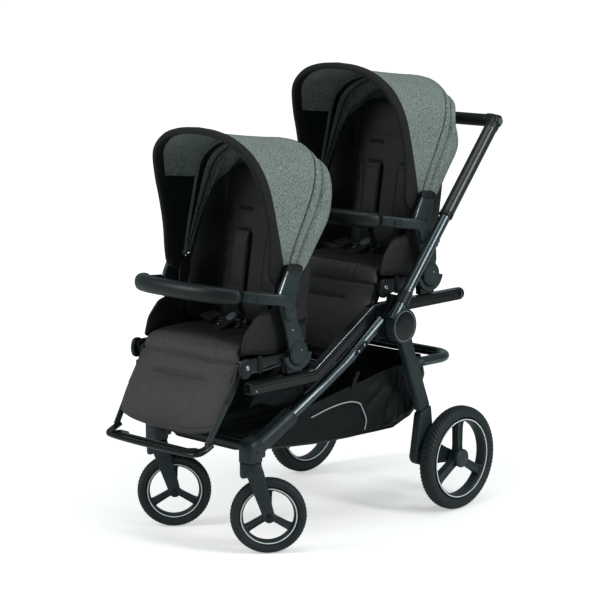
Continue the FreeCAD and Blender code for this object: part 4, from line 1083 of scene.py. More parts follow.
# ---------------------------------------------------------------------------------------------
# Hoods
# ---------------------------------------------------------------------------------------------
HOOD_RIBS = [
    [(184, -262, 700), (186, -267, 735), (188, -275, 790), (188, -289, 858), (184, -308, 927),
     (163, -330, 988), (115, -343, 1027), (60, -349, 1044), (0, -351, 1049)],
    [(180, -216, 712), (181, -208, 740), (182, -186, 787), (182, -156, 842), (179, -128, 896),
     (168, -108, 944), (138, -86, 980), (95, -72, 1000), (50, -65, 1009), (0, -63, 1012)],
    [(178, -196, 704), (180, -186, 728), (181, -164, 778), (180, -130, 826), (177, -101, 880),
     (170, -86, 917), (146, -66, 952), (100, -50, 976), (50, -43, 986), (0, -41, 990)],
    [(175, -174, 682), (178, -152, 708), (180, -112, 768), (179, -74, 820), (177, -62, 862),
     (173, -55, 900), (160, -47, 926), (138, -40, 944), (95, -33, 958), (50, -29, 964),
     (0, -28, 966)],
    [(158, -160, 686), (160, -140, 712), (164, -98, 772), (165, -62, 822), (164, -50, 860),
     (158, -44, 888), (144, -40, 904), (120, -38, 914), (80, -37, 920), (40, -37, 922),
     (0, -37, 922)],
    [(140, -150, 688), (142, -132, 714), (146, -98, 770), (150, -74, 812), (148, -66, 834),
     (140, -62, 844), (124, -62, 848), (100, -62, 850), (70, -62, 851), (35, -62, 851),
     (0, -62, 851)]]
HALF_COUNT = 46


# each rib from the left foot over the top to the right foot
RIBS = np.stack([mirrored(eased(points, HALF_COUNT)) for points in HOOD_RIBS])
MID_SHARE = 0.62  # where the middle bow lies on the way from the first rib to the second


def hood_rows(first, last, share_first, share_last, count):
    """Rows of cloth between two shares of the straight span from one rib to the next."""
    t = np.linspace(share_first, share_last, count)[:, None, None]
    return RIBS[first] * (1 - t) + RIBS[last] * t


def inward(points, depth):
    """The same rows moved towards the hood's middle line by a depth."""
    middle = np.array([0.0, -150.0, 820.0])
    way = points - middle
    way[..., 1] *= 0.35
    return points - way / np.linalg.norm(way, axis=2, keepdims=True) * depth


def taut(first, last, count):
    """Rows of the taut front panel between two shares of its span, with a slight hollow between
    the ribs and faint pull folds that run up from the clips."""
    rows = hood_rows(0, 1, first, last, count)
    t = np.linspace(first, last, count)[:, None, None]
    s = np.linspace(-1, 1, rows.shape[1])[None, :, None]
    low = np.exp(-((1 - np.abs(s)) / 0.22) ** 2)
    fold = (np.sin(7.0 * np.pi * t + 3.0 * s) * low * 0.9
            + 0.7 * np.sin(5.0 * np.pi * t - 5.0 * s) * np.exp(-((np.abs(s) - 0.45) / 0.25) ** 2))
    return inward(rows, (2.6 * (1 - 0.3 * np.abs(s)) + fold) * np.sin(np.pi * t))


def hood_back_cloth():
    """The rest of the hood: the end of the taut panel, then two gathered pleats and the panel
    that drops behind the back. Between ribs the cloth swells out, and on each sewn rib it dips,
    so the pleats fan out from the feet."""
    parts = [taut(MID_SHARE, 1.0, 16)]
    for k, (count, swell) in enumerate(((17, 6.0), (21, 8.5), (15, 3.0), (10, 0.0)), start=1):
        t = np.linspace(0, 1, count)[:, None, None]
        before, after = RIBS[max(k - 1, 1)], RIBS[min(k + 2, 5)]
        a, b = RIBS[k], RIBS[k + 1]
        curve = 0.5 * (2 * a + (b - before) * t + (2 * before - 5 * a + 4 * b - after) * t ** 2
                       + (3 * a - before - 3 * b + after) * t ** 3)
        rows = 0.5 * curve + 0.5 * (a * (1 - t) + b * t)
        s = np.abs(np.linspace(-1, 1, rows.shape[1]))[None, :, None]
        full = smooth_step(s, 0.12, 0.5) * (1 - 0.5 * smooth_step(s, 0.9, 1.0))
        ripple = 1.2 * np.sin(2 * np.pi * t * 1.5 + 7 * s) * smooth_step(s, 0.4, 0.8)
        crease = 6.5 * np.exp(-((t - 0.05) / 0.10) ** 2) * (swell > 1)
        out = (swell * np.sin(np.pi * t) ** 0.7 - crease) * full
        parts.append(inward(rows, -(out + ripple * np.sin(np.pi * t) * (swell > 3)))[1:])
    return np.concatenate(parts)


def hood_trim():
    """The padded rim: an oval section carried along the front rib. It widens towards the feet,
    where it rounds off below the clip, and a sewn line runs along its back edge."""
    shape = Surfaces()
    foot = np.array([(183, -264, 678), (183.5, -264, 690)], float)
    half = eased(np.vstack([foot, np.array(HOOD_RIBS[0], float)]) + [2.0, -4.0, 1.0], 60)
    path = mirrored(half)
    run = lengths_along(path[None], 1)[0] / MM
    run = np.minimum(run, run[-1] - run)
    wide = 15.5 + 11.5 * np.exp(-((run - 22) / 75.0) ** 2)
    wide = wide * rounded_end(run / 24.0, 0.02)
    thick = 8.6 * rounded_end(run / 12.0, 0.05)
    loop = oval(1.0, 1.0, 2.6, 28)
    section = np.stack([loop[None, :, 0] * thick[:, None], loop[None, :, 1] * wide[:, None]], 2)
    dip = np.exp(-((loop[:, 1] + 0.72) / 0.10) ** 2) * (loop[:, 0] > 0)
    section[..., 0] -= 1.6 * dip[None]
    shape.sweep(path, section, trim_cloth, up=(0, -1, 0))
    for side in (1, -1):
        foot = (side * 192.0, -250, 697)
        shape.turned([(0, 0.4), (0, 9.5), (2.0, 9.5), (3.0, 8.4), (2.6, 7.4), (2.6, 0.4)], foot,
                     (side, 0, 0), dark_plastic, 32)
        shape.turned([(2, 0.4), (2, 4.4), (3.8, 4.0), (4.4, 2.4), (4.4, 0.4)], foot,
                     (side, 0, 0), casting, 24)
        clip = [(-240, 716), (-262, 722), (-284, 706), (-286, 684), (-262, 672), (-238, 680)]
        shape.slab(clip, 12, side, (176.0, 192.6), trim_cloth, 5.0)
    return shape


def clear_of_grip(rows):
    """The rear hood gives way a little where the handle's grip comes near when the back leans."""
    grip_height, spread, most = 897.0, 42.0, 21.0
    band = np.exp(-((rows[..., 2] - grip_height) / spread) ** 2)
    room = most * band * smooth_step(rows[..., 1], -115.0, -50.0)
    return rows - np.stack([0 * room, room, 0 * room], -1)


def hood_inside(side):
    """The black window net inside one side of the hood, between the rim and the zip."""
    rows = hood_rows(0, 1, 0.03, MID_SHARE, 14)
    half = rows[:, :30] if side > 0 else rows[:, :-31:-1]
    return inward(half[:, 1:22], 5.0)


def hood_strip(first, last, inset_by):
    """A band that lies inside the hood along its whole arch, between two shares of the span."""
    return inward(hood_rows(0, 1, first, last, 4), inset_by)


def rib_line(share, depth, first=0, last=1):
    """The line over the hood at one share of a span, a depth below the cloth."""
    return inward(hood_rows(first, last, share, share, 1), depth)[0]


HOOD_PIVOT = (-242, 694)
FRONT_BLEND = (metres(0, -300, 900), metres(0, -200, 900))
BACK_BLEND = (metres(0, HOOD_PIVOT[0] - 63, HOOD_PIVOT[1] + 31),
              metres(0, HOOD_PIVOT[0] + 63, HOOD_PIVOT[1] - 31))


def shifted(point, at):
    """A point in metres moved by a step in millimetres."""
    return tuple(a + b * MM for a, b in zip(point, at))


def hood(word, at):
    """One hood: two cloth panels, the rim, the window net, the zip band and the sewn lines."""
    front, mid, back = word + "_front_bow", word + "_mid_bow", word + "_back"
    first = [shifted(p, at) for p in FRONT_BLEND]
    second = [shifted(p, at) for p in BACK_BLEND]
    rim_name, sleeve_name = word + "_hood_rim", word + "_hood_bow_sleeve"
    sheet(word + "_hood_front_cloth", taut(0.0, MID_SHARE, 26) + at, melange,
          (front, mid, *first), "stretched", [rim_name, sleeve_name], slot="melange_cloth",
          solid=1.6, rim=False)
    give_way = clear_of_grip if word == "rear" else np.asarray
    sheet(word + "_hood_back_cloth", give_way(hood_back_cloth()) + at, melange,
          (mid, back, *second), "stretched", [sleeve_name], [word + "_canopy_fabric"],
          "melange_cloth", solid=1.6, rim=False)
    piece(rim_name, moved(hood_trim(), at), front, [word + "_canopy_bow"], "black_tube")
    # The sleeve inside the hood takes the darker melange copy as painted shade.
    sleeve = Surfaces()
    sleeve.sweep(rib_line(MID_SHARE, 6.5) + at, oval(3.4, 5.0, 2.4, 16), melange_painted_shade,
                 up=(0, -1, 0.2))
    piece(sleeve_name, sleeve, mid, [word + "_canopy_mid_bow"], "black_tube")
    for name, side in SIDES:
        sheet("%s_hood_net_%s" % (word, name), hood_inside(side) + at, net, (front, mid, *first),
              "stretched", [rim_name], solid=0.8)
    shape = Surfaces()
    shape.grid(hood_strip(0.645, 0.73, 5.2) + at, webbing)
    shape.grid(hood_strip(0.73, 0.86, 5.6) + at, melange)
    for share in (0.645, 0.735, 0.86):
        shape.sweep(rib_line(share, 6.2) + at, oval(1.0, 1.0, 2, 8), stitching, up=(0, -1, 0.2))
    band = piece(word + "_hood_zip_band", shape, (mid, back, *second), solid=0.8)
    hood_strip(0.645, 0.86, 5.4) + at
    shape = Surfaces()
    for k, lift in ((1, 0.4), (2, 0.4), (3, 0.6)):
        line = give_way(rib_line(0.0, -lift, k, k + 1)) + at
        shape.sweep(line, oval(1.1, 1.1, 2, 8), stitching, up=(0, -1, 0.2))
    piece(word + "_hood_seams", shape, (mid, back, *second))


# ---------------------------------------------------------------------------------------------
# Seats
# ---------------------------------------------------------------------------------------------
LEAN = math.radians(8.4)
BACK_WAY = np.array([0.0, math.sin(LEAN), math.cos(LEAN)])
BACK_ASIDE = np.array([0.0, math.cos(LEAN), -math.sin(LEAN)])
BACK_FOOT = np.array([0.0, -164.0, 546.5])
RECLINE_PIVOT = (-215, 500.5)
BUMPER_PIVOT = (-252, 607)
LEGREST_PIVOT = (-381, 482)
BUCKLE = (0, -238, 566)
STRAP_SIDE = 60.0  # each shoulder strap's distance from the middle
SEAT_SEAM_SIDE = 84.0


def wing_seam(s):
    """How far out the sewn line beside the back pad's flat middle lies, at a place up the back."""
    up = s + BACK_FOOT[2]
    bend = np.where(up > 725, 0.0036, 0.0060)
    return np.minimum(110.0 + bend * (up - 725.0) ** 2, 142.0)


def back_front(x, s):
    """How far the back pad's front stands forward at a place across and up it: a flat middle,
    and two wings that rise outside a curved sewn line and fade out towards the top and foot."""
    seam = wing_seam(s)
    wing = smooth_step(np.abs(x), seam - 3, 158.0) ** 1.2
    high = np.interp(s, (0.0, 60.0, 140.0, 230.0, 290.0, 345.0, 385.0),
                     (104.0, 112.0, 106.0, 86.0, 64.0, 26.0, 0.0))
    crown = 4.0 * (1 - (x / 150.0) ** 2).clip(0, 1)
    groove = dipped(np.abs(np.abs(x) - seam), 3.2, 4.0) * (1 - smooth_step(s, 290, 330))
    pillow = 3.0 * np.sin(np.pi * ((s - 40.0) / 150.0))
    return high * wing + crown - groove + np.where((s > 40) & (s < 190), pillow, 0.0) * (
        1 - wing) * 0.4


def backrest_pad():
    """A closed pad: each row runs across its front and back again over its flat rear, and the
    half width follows a straight side and a rounded shoulder."""
    s = np.linspace(-9.0, 403.0, 76)
    half_width, tall, corner = 171.0, 405.0, 92.0
    rise = np.clip((s - (tall - corner)) / corner, 0.0, 1.0)
    half = half_width - corner + corner * np.sqrt(1 - rise ** 2)
    half = np.maximum(half, 20.0) - 3.0 * (1 - smooth_step(s, 0.0, 90.0))
    loop = oval(1.0, 1.0, 5.0, 96)
    x = half[:, None] * loop[None, :, 0]
    share = loop[None, :, 1]
    end = np.sqrt(np.clip(1 - ((s - 197.0) / 208.0) ** 20, 0.02, 1))[:, None]
    front = back_front(x, s[:, None]) * np.clip(share, 0, 1) ** 0.5
    depth = -11.0 * share * end - front * (share > 0)
    points = (BACK_FOOT + BACK_WAY * s[:, None, None] + BACK_ASIDE * (depth[..., None] + 12.0))
    points = points + np.array([1.0, 0, 0]) * x[..., None]
    seam = wing_seam(s[:, None])
    pins = dipped(np.abs(np.abs(x) - seam), 5.0, 1.0) * (share > 0) + (share < -0.4)
    near_strap = np.abs(np.abs(x) - STRAP_SIDE) < 36.0
    under_straps = near_strap & (s[:, None] > 55.0) & (s[:, None] < 304.0)
    return points, np.clip(pins + under_straps + dipped(np.abs(share), 0.2, 0.6), 0, 1)


def on_back(x, s, lift=0.0):
    """A point just in front of the back pad."""
    x, s = np.asarray(x, float), np.asarray(s, float)
    depth = 12.0 - 11.0 - back_front(x, s) - lift
    return (BACK_FOOT + BACK_WAY * s[..., None] + BACK_ASIDE * depth[..., None]
            + np.array([1.0, 0, 0]) * x[..., None])


def strap(shape, line, out, wide, thick, finish):
    """Flat webbing along a line: its width lies at right angles to the line and to out."""
    way = unit(np.gradient(line, axis=0))
    side = unit(np.cross(way, np.broadcast_to(np.asarray(out, float), line.shape)))
    up = np.cross(side, way)
    loop = oval(wide / 2, thick / 2, 4.0, 20)
    points = line[:, None] + side[:, None] * loop[:, :1] + up[:, None] * loop[:, 1:]
    shape.grid(points, finish, around=True, ends=True)


def harness(word, at):
    """Slots, shoulder pads, straps, waist pads and the buckle with its round button."""
    slots, pads, low = Surfaces(), Surfaces(), Surfaces()
    for side in (1, -1):
        for s in (286.0, 230.0):
            for lift in (-4.0, 4.0):
                x = np.linspace(side * STRAP_SIDE - 25, side * STRAP_SIDE + 25, 16)
                strap(slots, on_back(x, np.full(16, s + lift), 0.8), (0, -1, 0), 3.4, 3.0,
                      stitching)
            x = np.linspace(side * STRAP_SIDE - 24, side * STRAP_SIDE + 24, 16)
            strap(slots, on_back(x, np.full(16, s), 0.2), (0, -1, 0), 6.0, 2.0, webbing)
        pad = softened([(-30, 62), (22, 62), (31, 50), (31, -100), (-31, -100), (-31, 46)]
                       if side > 0 else
                       [(-22, 62), (30, 62), (31, 46), (31, -100), (-31, -100), (-31, 50)], 8)
        rows = []
        for lift, size in ((0.5, 0.98), (3.0, 1.0), (8.0, 1.0), (11.0, 0.95), (12.5, 0.86),
                           (11.4, 0.83), (13.0, 0.78), (13.6, 0.4)):
            middle = np.array([0.0, -19.0])
            ring = middle + (pad - middle) * size
            rows.append(on_back(side * STRAP_SIDE + ring[:, 0] * 0.98, 166 + ring[:, 1], lift))
        pads.grid(np.stack(rows), pad_cloth, around=True, ends=True)
        gusset = [(-256, 560), (-262, 640), (-258, 690), (-222, 714), (-150, 716), (-136, 560)]
        pads.slab(gusset, 14, side, (169.0, 175.5), seat_cloth, 2.6)
        line = eased([on_back(side * STRAP_SIDE, 72.0, 8.0), on_back(side * 57.0, 45.0, 20.0),
                      (side * 44, -196, 574), (side * 30, -216, 565), (side * 16, -232, 559)], 24)
        strap(pads, line, (0, -0.3, 1), 24.0, 2.2, webbing)
        waist = eased([(side * 150, -190, 552), (side * 128, -200, 550), (side * 90, -214, 547),
                       (side * 50, -226, 549), (side * 18, -236, 555)], 24)
        strap(low, waist, (0, -0.2, 1), 30.0, 2.2, webbing)
        padding = [(side * 132, -198, 553), (side * 102, -209, 551), (side * 66, -221, 552)]
        strap(low, eased(padding, 18), (0, -0.2, 1), 46.0, 11.0, pad_cloth)
        low.box((side * 42, -229, 556), (11, 9, 4.5), dark_plastic)
        low.turned([(0, 0.3), (0, 3.0), (1.4, 2.4), (1.6, 0.3)], (side * 36, -226, 561),
                   (0, -0.3, 1), silver, 16)
    strap(low, eased([(0, -304, 539), (0, -288, 543), (0, -266, 550), (0, -248, 556)], 14),
          (0, -0.8, 0.6), 34.0, 9.0, pad_cloth)
    tilt = np.array([0.0, -0.62, 0.785])
    low.turned([(-14, 0.4), (-14, 17), (-11, 20), (-3, 21), (0, 19), (0.4, 0.4)], BUCKLE, tilt,
               dark_plastic, 36)
    low.turned([(0, 0.4), (0, 14.6), (3.2, 14.0), (4.6, 11.5), (4.9, 0.4)], BUCKLE, tilt,
               button_grey, 36)
    for side in (1, -1):
        low.box((side * 22, -234, 559), (12, 9, 6.5), dark_plastic)
        low.sweep(eased([(side * 30, -238, 556), (side * 36, -248, 550), (side * 34, -256, 546),
                         (side * 26, -252, 545)], 14), oval(1.3, 1.3, 2, 8), silver)
    piece(word + "_harness_slots", moved(slots, at), word + "_back")
    upper = piece(word + "_shoulder_pads", moved(pads, at), word + "_back")
    piece(word + "_buckle_set", moved(low, at), "chassis", [word + "_buckle"], "seat_cloth")


def seat_pad():
    """The seat pad: rows from front to back, each a flattened oval with a crowned top, lower at
    the front and with two sewn lines from front to back."""
    y = np.linspace(-362.0, -174.0, 40)
    loop = oval(1.0, 1.0, 5.0, 90)
    end = np.sqrt(np.clip(1 - ((y + 268.0) / 94.5) ** 14, 0.03, 1))[:, None]
    half_width = 166.0
    x = half_width * loop[None, :, 0] + 0 * y[:, None]
    share = loop[None, :, 1] + 0 * y[:, None]
    crown = 6.0 * (1 - (x / half_width) ** 2) * (share > 0)
    from_seam = np.abs(np.abs(x) - SEAT_SEAM_SIDE)
    line = dipped(from_seam, 3.6, 3.6) * (share > 0)
    lip = dipped(np.abs(y[:, None] + 330.0), 3.5, 1.6) * (share > 0)
    z = 514.5 + 20.0 * share * end + (crown - line - lip) * end
    points = np.stack([x, y[:, None] + 0 * x, z], 2)
    return points, np.clip((share < -0.3) + dipped(from_seam, 5.0, 1.0), 0, 1)


LEG_LINE = [(-351, 533), (-368, 530), (-383, 519), (-392, 502), (-399, 478), (-414, 452),
            (-440, 414), (-463, 374), (-479, 334), (-482, 314)]


def legrest_pad():
    """The leg rest's pad: a flattened oval section carried down a curved line, its lower edge
    drawn up towards the corners, with a sewn line across, a pressed groove and two channels."""
    rows, columns = 84, 110
    seam_at, groove_at, hem_at = 68.0, 121.0, 0.955  # millimetres down the line; a share of it
    line = eased(LEG_LINE, 400)
    run = np.linspace(0.0, 1.0, 400)
    total = lengths_along(np.column_stack([np.zeros(400), line])[None], 1)[0, -1] / MM
    loop = oval(1.0, 1.0, 4.2, columns)
    x = loop[None, :, 0] * 173.0 + np.zeros((rows, 1))
    share = loop[None, :, 1] + np.zeros((rows, 1))
    v = np.linspace(0.0, 1.0, rows)[:, None]
    t = v * (1 - 0.085 * np.abs(loop[None, :, 0]) ** 3.5)
    at = np.stack([np.interp(t, run, line[:, k]) for k in (0, 1)], 2)
    ahead = np.stack([np.interp(t + 0.01, run, line[:, k]) - np.interp(t - 0.01, run, line[:, k])
                      for k in (0, 1)], 2)
    ahead /= np.linalg.norm(ahead, axis=2, keepdims=True)
    out = np.stack([ahead[..., 1], -ahead[..., 0]], 2)
    far = t * total
    side = np.minimum(1.0, 0.90 + 0.30 * v)
    x = x * side
    end = np.sqrt(np.clip(1 - (2 * v - 1) ** 26, 0.02, 1))
    top_seam = dipped(np.abs(far - seam_at - 0.00006 * x ** 2), 3.6, 6.0)
    groove = dipped(np.abs(far - groove_at + 0.00022 * x ** 2), 4.2, 6.0) * (
        1 - smooth_step(np.abs(x), 88, 100))
    ribs = dipped(np.abs(np.abs(x) - 86.0 - 8 * np.sin(far / 40.0)), 4.0, 4.4) * (
        smooth_step(far, 10, 30) * (1 - smooth_step(far, 58, 66)) + smooth_step(far, 150, 175))
    top = dipped(np.abs(np.abs(x) - 110.0 + 1.35 * far), 3.6, 4.0) * (far < 44) * (np.abs(x) > 52)
    hem = dipped(np.abs((v - hem_at) * total), 3.2, 3.6)
    crown = 7.0 * (1 - (x / 172.0) ** 4) * smooth_step(v, 0.02, 0.2)
    front = (crown - top_seam - groove - ribs - hem - top) * (share > 0)
    depth = 12.5 * share * end + front * end
    y = at[..., 0] + out[..., 0] * (depth - 12.0)
    z = at[..., 1] + out[..., 1] * (depth - 12.0)
    pins = (dipped(np.abs(far - seam_at), 5, 1)
            + dipped(np.abs(far - groove_at), 5, 1) * (np.abs(x) < 98))
    pins = pins + (share < -0.3) + dipped((v - hem_at) * total, 5, 1)
    return np.stack([x, y, z], 2), np.clip(pins, 0, 1)


def pads():
    """The three pads of a seat, blown up once and repeated for the other seat."""
    for name, maker, finish, cap, body, node, slot, fill in (
            ("seat_pad", seat_pad, seat_cloth, 5.0, None, "seat_cushion", "seat_cloth", 0.7),
            ("back_pad", backrest_pad, seat_cloth, 6.0, "_back", "backrest", "seat_cloth", 0.6),
            ("legrest_pad", legrest_pad, legrest_cloth, 5.0, "_legrest", "legrest_cushion",
             "legrest_cloth", 0.6)):
        points, pins = maker()
        shape = Surfaces()
        shape.grid(points, finish, around=True, ends=True)
        first = piece("front_" + name, shape, None, ["front_" + node], slot, crisp=70)
        puffed(first, np.concatenate([pins.ravel(), [1.0, 1.0]]), cap)
        second = twin(first, "rear_" + name, SEAT_STEP, ["rear_" + node])
        for thing, (word, at) in ((first, SEATS[0]), (second, SEATS[1])):
            if name == "legrest_pad":
                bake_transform(thing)
            else:
                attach(thing, word + body if body else "chassis")


def side_flap(side):
    """The soft panel beside the hips: a rounded outline with a bulged face and a hem."""
    shape = Surfaces()
    outline = softened([(-380, 512), (-284, 499), (-180, 502), (-150, 520), (-154, 596),
                        (-204, 626), (-268, 612), (-304, 606), (-330, 600), (-366, 560)], 12)
    middle = outline.mean(0)
    rows = []
    for out, size in ((-5, 0.97), (-3, 1.0), (1.5, 1.0), (3.4, 0.965), (2.6, 0.945), (5.5, 0.85),
                      (8.0, 0.5)):
        ring = middle + (outline - middle) * size
        rows.append(np.column_stack([np.full(len(ring), side * (177.0 + out)), ring]))
    shape.grid(np.stack(rows), seat_cloth, around=True, ends=True)
    return shape


def seat_chair():
    """The seat's pan, side bars, leg-rest brackets with their rivets, and the cupped feet."""
    shape = Surfaces()
    shape.plate(softened([(-186, -352), (186, -352), (186, -172), (-186, -172)], 12), 485.0,
                490.4, dark_plastic, 2.0, axis=2)
    for side in (1, -1):
        bar = [(-394, 496), (-372, 503), (-300, 500), (-246, 500), (-228, 492), (-236, 478),
               (-300, 475), (-366, 462), (-386, 464)]
        bracket = [(-400, 504), (-380, 508), (-366, 496), (-364, 476), (-378, 456), (-398, 456),
                   (-406, 478)]
        shape.slab(bar, 7, side, (186.6, 198.8), dark_plastic, 3.0)
        shape.slab(bracket, 10, side, (192.0, 204.0), dark_plastic, 3.0)
        shape.turned([(0, 0.3), (0, 6.6), (1.8, 6.2), (2.6, 4.0), (1.8, 2.4), (1.8, 0.3)],
                     (side * 203.8, -384, 484), (side, 0, 0), silver, 28)
        turn = np.linspace(math.radians(192), math.radians(352), 26)
        outer = np.array([-213.0, 500.5]) + np.stack([50 * np.cos(turn), 47 * np.sin(turn)], 1)
        inner = np.array([-215.0, 500.5]) + 33.4 * np.stack([np.cos(turn), np.sin(turn)], 1)
        shape.plate(np.vstack([outer, inner[::-1]]), side * 199.0, side * 213.5, casting, 2.6)
        foot = [(-246, 446), (-192, 446), (-186, 474), (-248, 474)]
        web = [(-250, 470), (-180, 470), (-188, 500), (-246, 500)]
        shape.slab(foot, 5, side, (187.0, 206.0), dark_plastic, 2.5)
        shape.slab(web, 6, side, (187.0, 200.6), dark_plastic, 2.5)
        shape.sweep(eased([(side * 196, -372, 474), (side * 197, -340, 468),
                           (side * 197, -300, 470), (side * 196, -262, 474)], 24),
                    oval(3.2, 3.2, 2, 14), gunmetal)
        clip = [(-344, 508), (-330, 508), (-330, 462), (-344, 462)]
        shape.slab(clip, 4, side, (198.0, 201.4), webbing, 1.2)
        shape.turned([(-3, 0.3), (-3, 6.5), (4, 6.5), (4, 0.3)], (side * 214.4, *RECLINE_PIVOT),
                     (side, 0, 0), casting, 24)
    return shape


def seat_arm(side):
    """One side arm: a slab that leans forwards to the bumper pivot and then backwards to the
    hood's clip, a round cover on the recline hinge with its sunk ring, a bright strip along the
    upper front edge and a cap on top."""
    shape = Surfaces()
    outline = [(-186, 508), (-228, 612), (-206, 690), (-206, 712), (-252, 716), (-284, 654),
               (-272, 612), (-244, 500), (-215, 486)]
    shape.slab(outline, (16, 22, 12, 6, 8, 14, 16, 18, 20), side, (203.8, 215.4), casting, 3.6)
    face = [(203.4, 0.4), (203.4, 30), (205, 31), (216.4, 31), (217.8, 29.8), (217.8, 27.2),
            (216.9, 26.4), (217.9, 25.6), (218.8, 20), (219.0, 0.4)]
    shape.turned(sided(face, side), (0, *RECLINE_PIVOT), X_AXIS, casting, 56)
    for spot in ((-209, 506), (-236, 560)):
        shape.turned([(0, 0.3), (0, 1.5), (0.7, 1.2), (0.8, 0.3)],
                     (side * (218.6 if spot[1] < 520 else 215.2), *spot), (side, 0, 0),
                     ring_paint, 14)
    strip = softened([(-283.0, 654), (-254.5, 711), (-252.0, 710), (-280.5, 653)], 1.0, 4)
    shape.plate(strip, side * 211.0, side * 216.2, silver, 0.6)
    cap = [(-202, 700), (-200, 716), (-216, 724), (-250, 725), (-258, 714), (-250, 704)]
    shape.slab(cap, 5, side, (200.0, 217.6), dark_plastic, 3.0)
    seam = softened([(-274, 640), (-219, 650), (-219, 652), (-274, 642)], 0.6, 3)
    shape.plate(seam, side * 214.8, side * 215.9, dark_plastic, 0.3)
    shape.turned(sided([(177, 0.4), (177, 9), (205, 9), (205, 0.4)], side), (0, *HOOD_PIVOT),
                 X_AXIS, dark_plastic, 28)
    shape.turned(sided([(214, 0.4), (214, 6), (226, 6), (226, 0.4)], side), (0, *BUMPER_PIVOT),
                 X_AXIS, casting, 20)
    brace = [(side * 203.0, -226, 560), (side * 186.0, -176, 566), (side * 158.0, -121, 575)]
    shape.sweep(eased(brace, 14), oval(6, 6, 2, 16), dark_plastic)
    return shape


def arms(word, at):
    """Both side arms and the tube that joins them behind the back pad."""
    shapes = [seat_arm(side) for _, side in SIDES]
    tube = Surfaces()
    tube.sweep(arc_line([(160.0, -121.0, 575.0), (-160.0, -121.0, 575.0)], 1), oval(7, 7, 2, 20),
               dark_plastic)
    piece(word + "_side_arms", moved(joined(shapes + [tube]), at), word + "_back",
          [word + "_seat_arms"], "casting")


def bumper(word, at, square):
    """The bumper bar: two flat arms with their pivot covers and ribbed joints, and the bowed,
    padded bar between them. The pad's section is a rounded oval, drawn in at both ends. The
    catch button is square or round."""
    shape = Surfaces()
    for side in (1, -1):
        line = eased([(side * 221, -250, 607), (side * 221, -259, 628), (side * 219, -275, 640),
                      (side * 210, -306, 645), (side * 196, -338, 650), (side * 180, -364, 655)],
                     46)
        run = np.linspace(0, 1, 46)[:, None, None]
        tall = 15.5 - 1.5 * smooth_step(run, 0.0, 0.5)
        thick = 5.0 * rounded_end(run * 14, 0.1)
        loop = oval(1.0, 1.0, 4.0, 28)[None]
        section = np.concatenate([loop[..., :1] * thick, loop[..., 1:] * tall], 2)
        shape.sweep(line, section, casting)
        cover = [(216.4, 0.4), (216.4, 18), (218, 19.4), (224.2, 19.4), (225.8, 18.2),
                 (225.4, 15.5), (226.0, 14.6), (226.3, 0.4)]
        shape.turned(sided(cover, side), (0, *BUMPER_PIVOT), X_AXIS, casting, 48)
        way = unit([side * -15.0, -26.0, 5.0])
        for k in range(4):
            spot = np.array([side * 180.0, -364, 655]) + way * (3.5 * k - 3.0)
            size, finish = (15.5, dark_plastic) if k % 2 else (13.6, casting)
            ends = np.stack([spot - way * 1.6, spot + way * 1.6])
            shape.sweep(ends, oval(7.4, size, 3.0, 28), finish)
    half = [(173, -376, 657), (150, -409, 660), (112, -431, 663), (58, -444, 665), (0, -448, 666)]
    half = np.array(half, float)
    path = eased(mirrored(half), 110)
    run = np.linspace(-1, 1, 110)
    end = np.sqrt(np.clip(1 - np.abs(run) ** 60, 0.35, 1)) * (1 - 0.10 * smooth_step(
        np.abs(run), 0.93, 1.0))
    crease = 1 - 0.02 * np.exp(-((np.abs(run) - 0.93) / 0.01) ** 2)
    loop = oval(1.0, 1.0, 2.3, 40)
    section = loop[None] * [19.0, 21.5] * (end * crease)[:, None, None]
    shape.sweep(path, section, bar_cover)
    under = path[6:-6] + [0.0, 15.5, -11.0]
    shape.sweep(under, oval(1.6, 1.6, 2, 8), stitching)
    pad = piece(word + "_bumper_bar_pad", moved(shape, at), word + "_bumper",
                [word + "_bumper_bar"], "bar_cover")
    button = Surfaces()
    out = np.array([0.86, -0.51, 0.0])
    spot = np.array([198.5, -333.5, 649.5])
    ring = oval(10.5, 10.5, 4.0, 32) if square else oval(9.5, 9.5, 2.0, 32)
    flat, upright = np.array([0.51, 0.86, 0.0]), np.array([0, 0, 1])
    levels = ((4.0, 1.0), (7.2, 1.0), (7.9, 0.93), (7.3, 0.84), (7.3, 0.72), (8.2, 0.66),
              (8.5, 0.3))
    rows = on_plane(spot, out, flat, upright, ring, levels)
    button.grid(rows + at, casting, around=True, ends=True)
    piece(word + "_bumper_catch_button", button, word + "_bumper_catch", [word + "_bumper_button"],
          "button_grey")


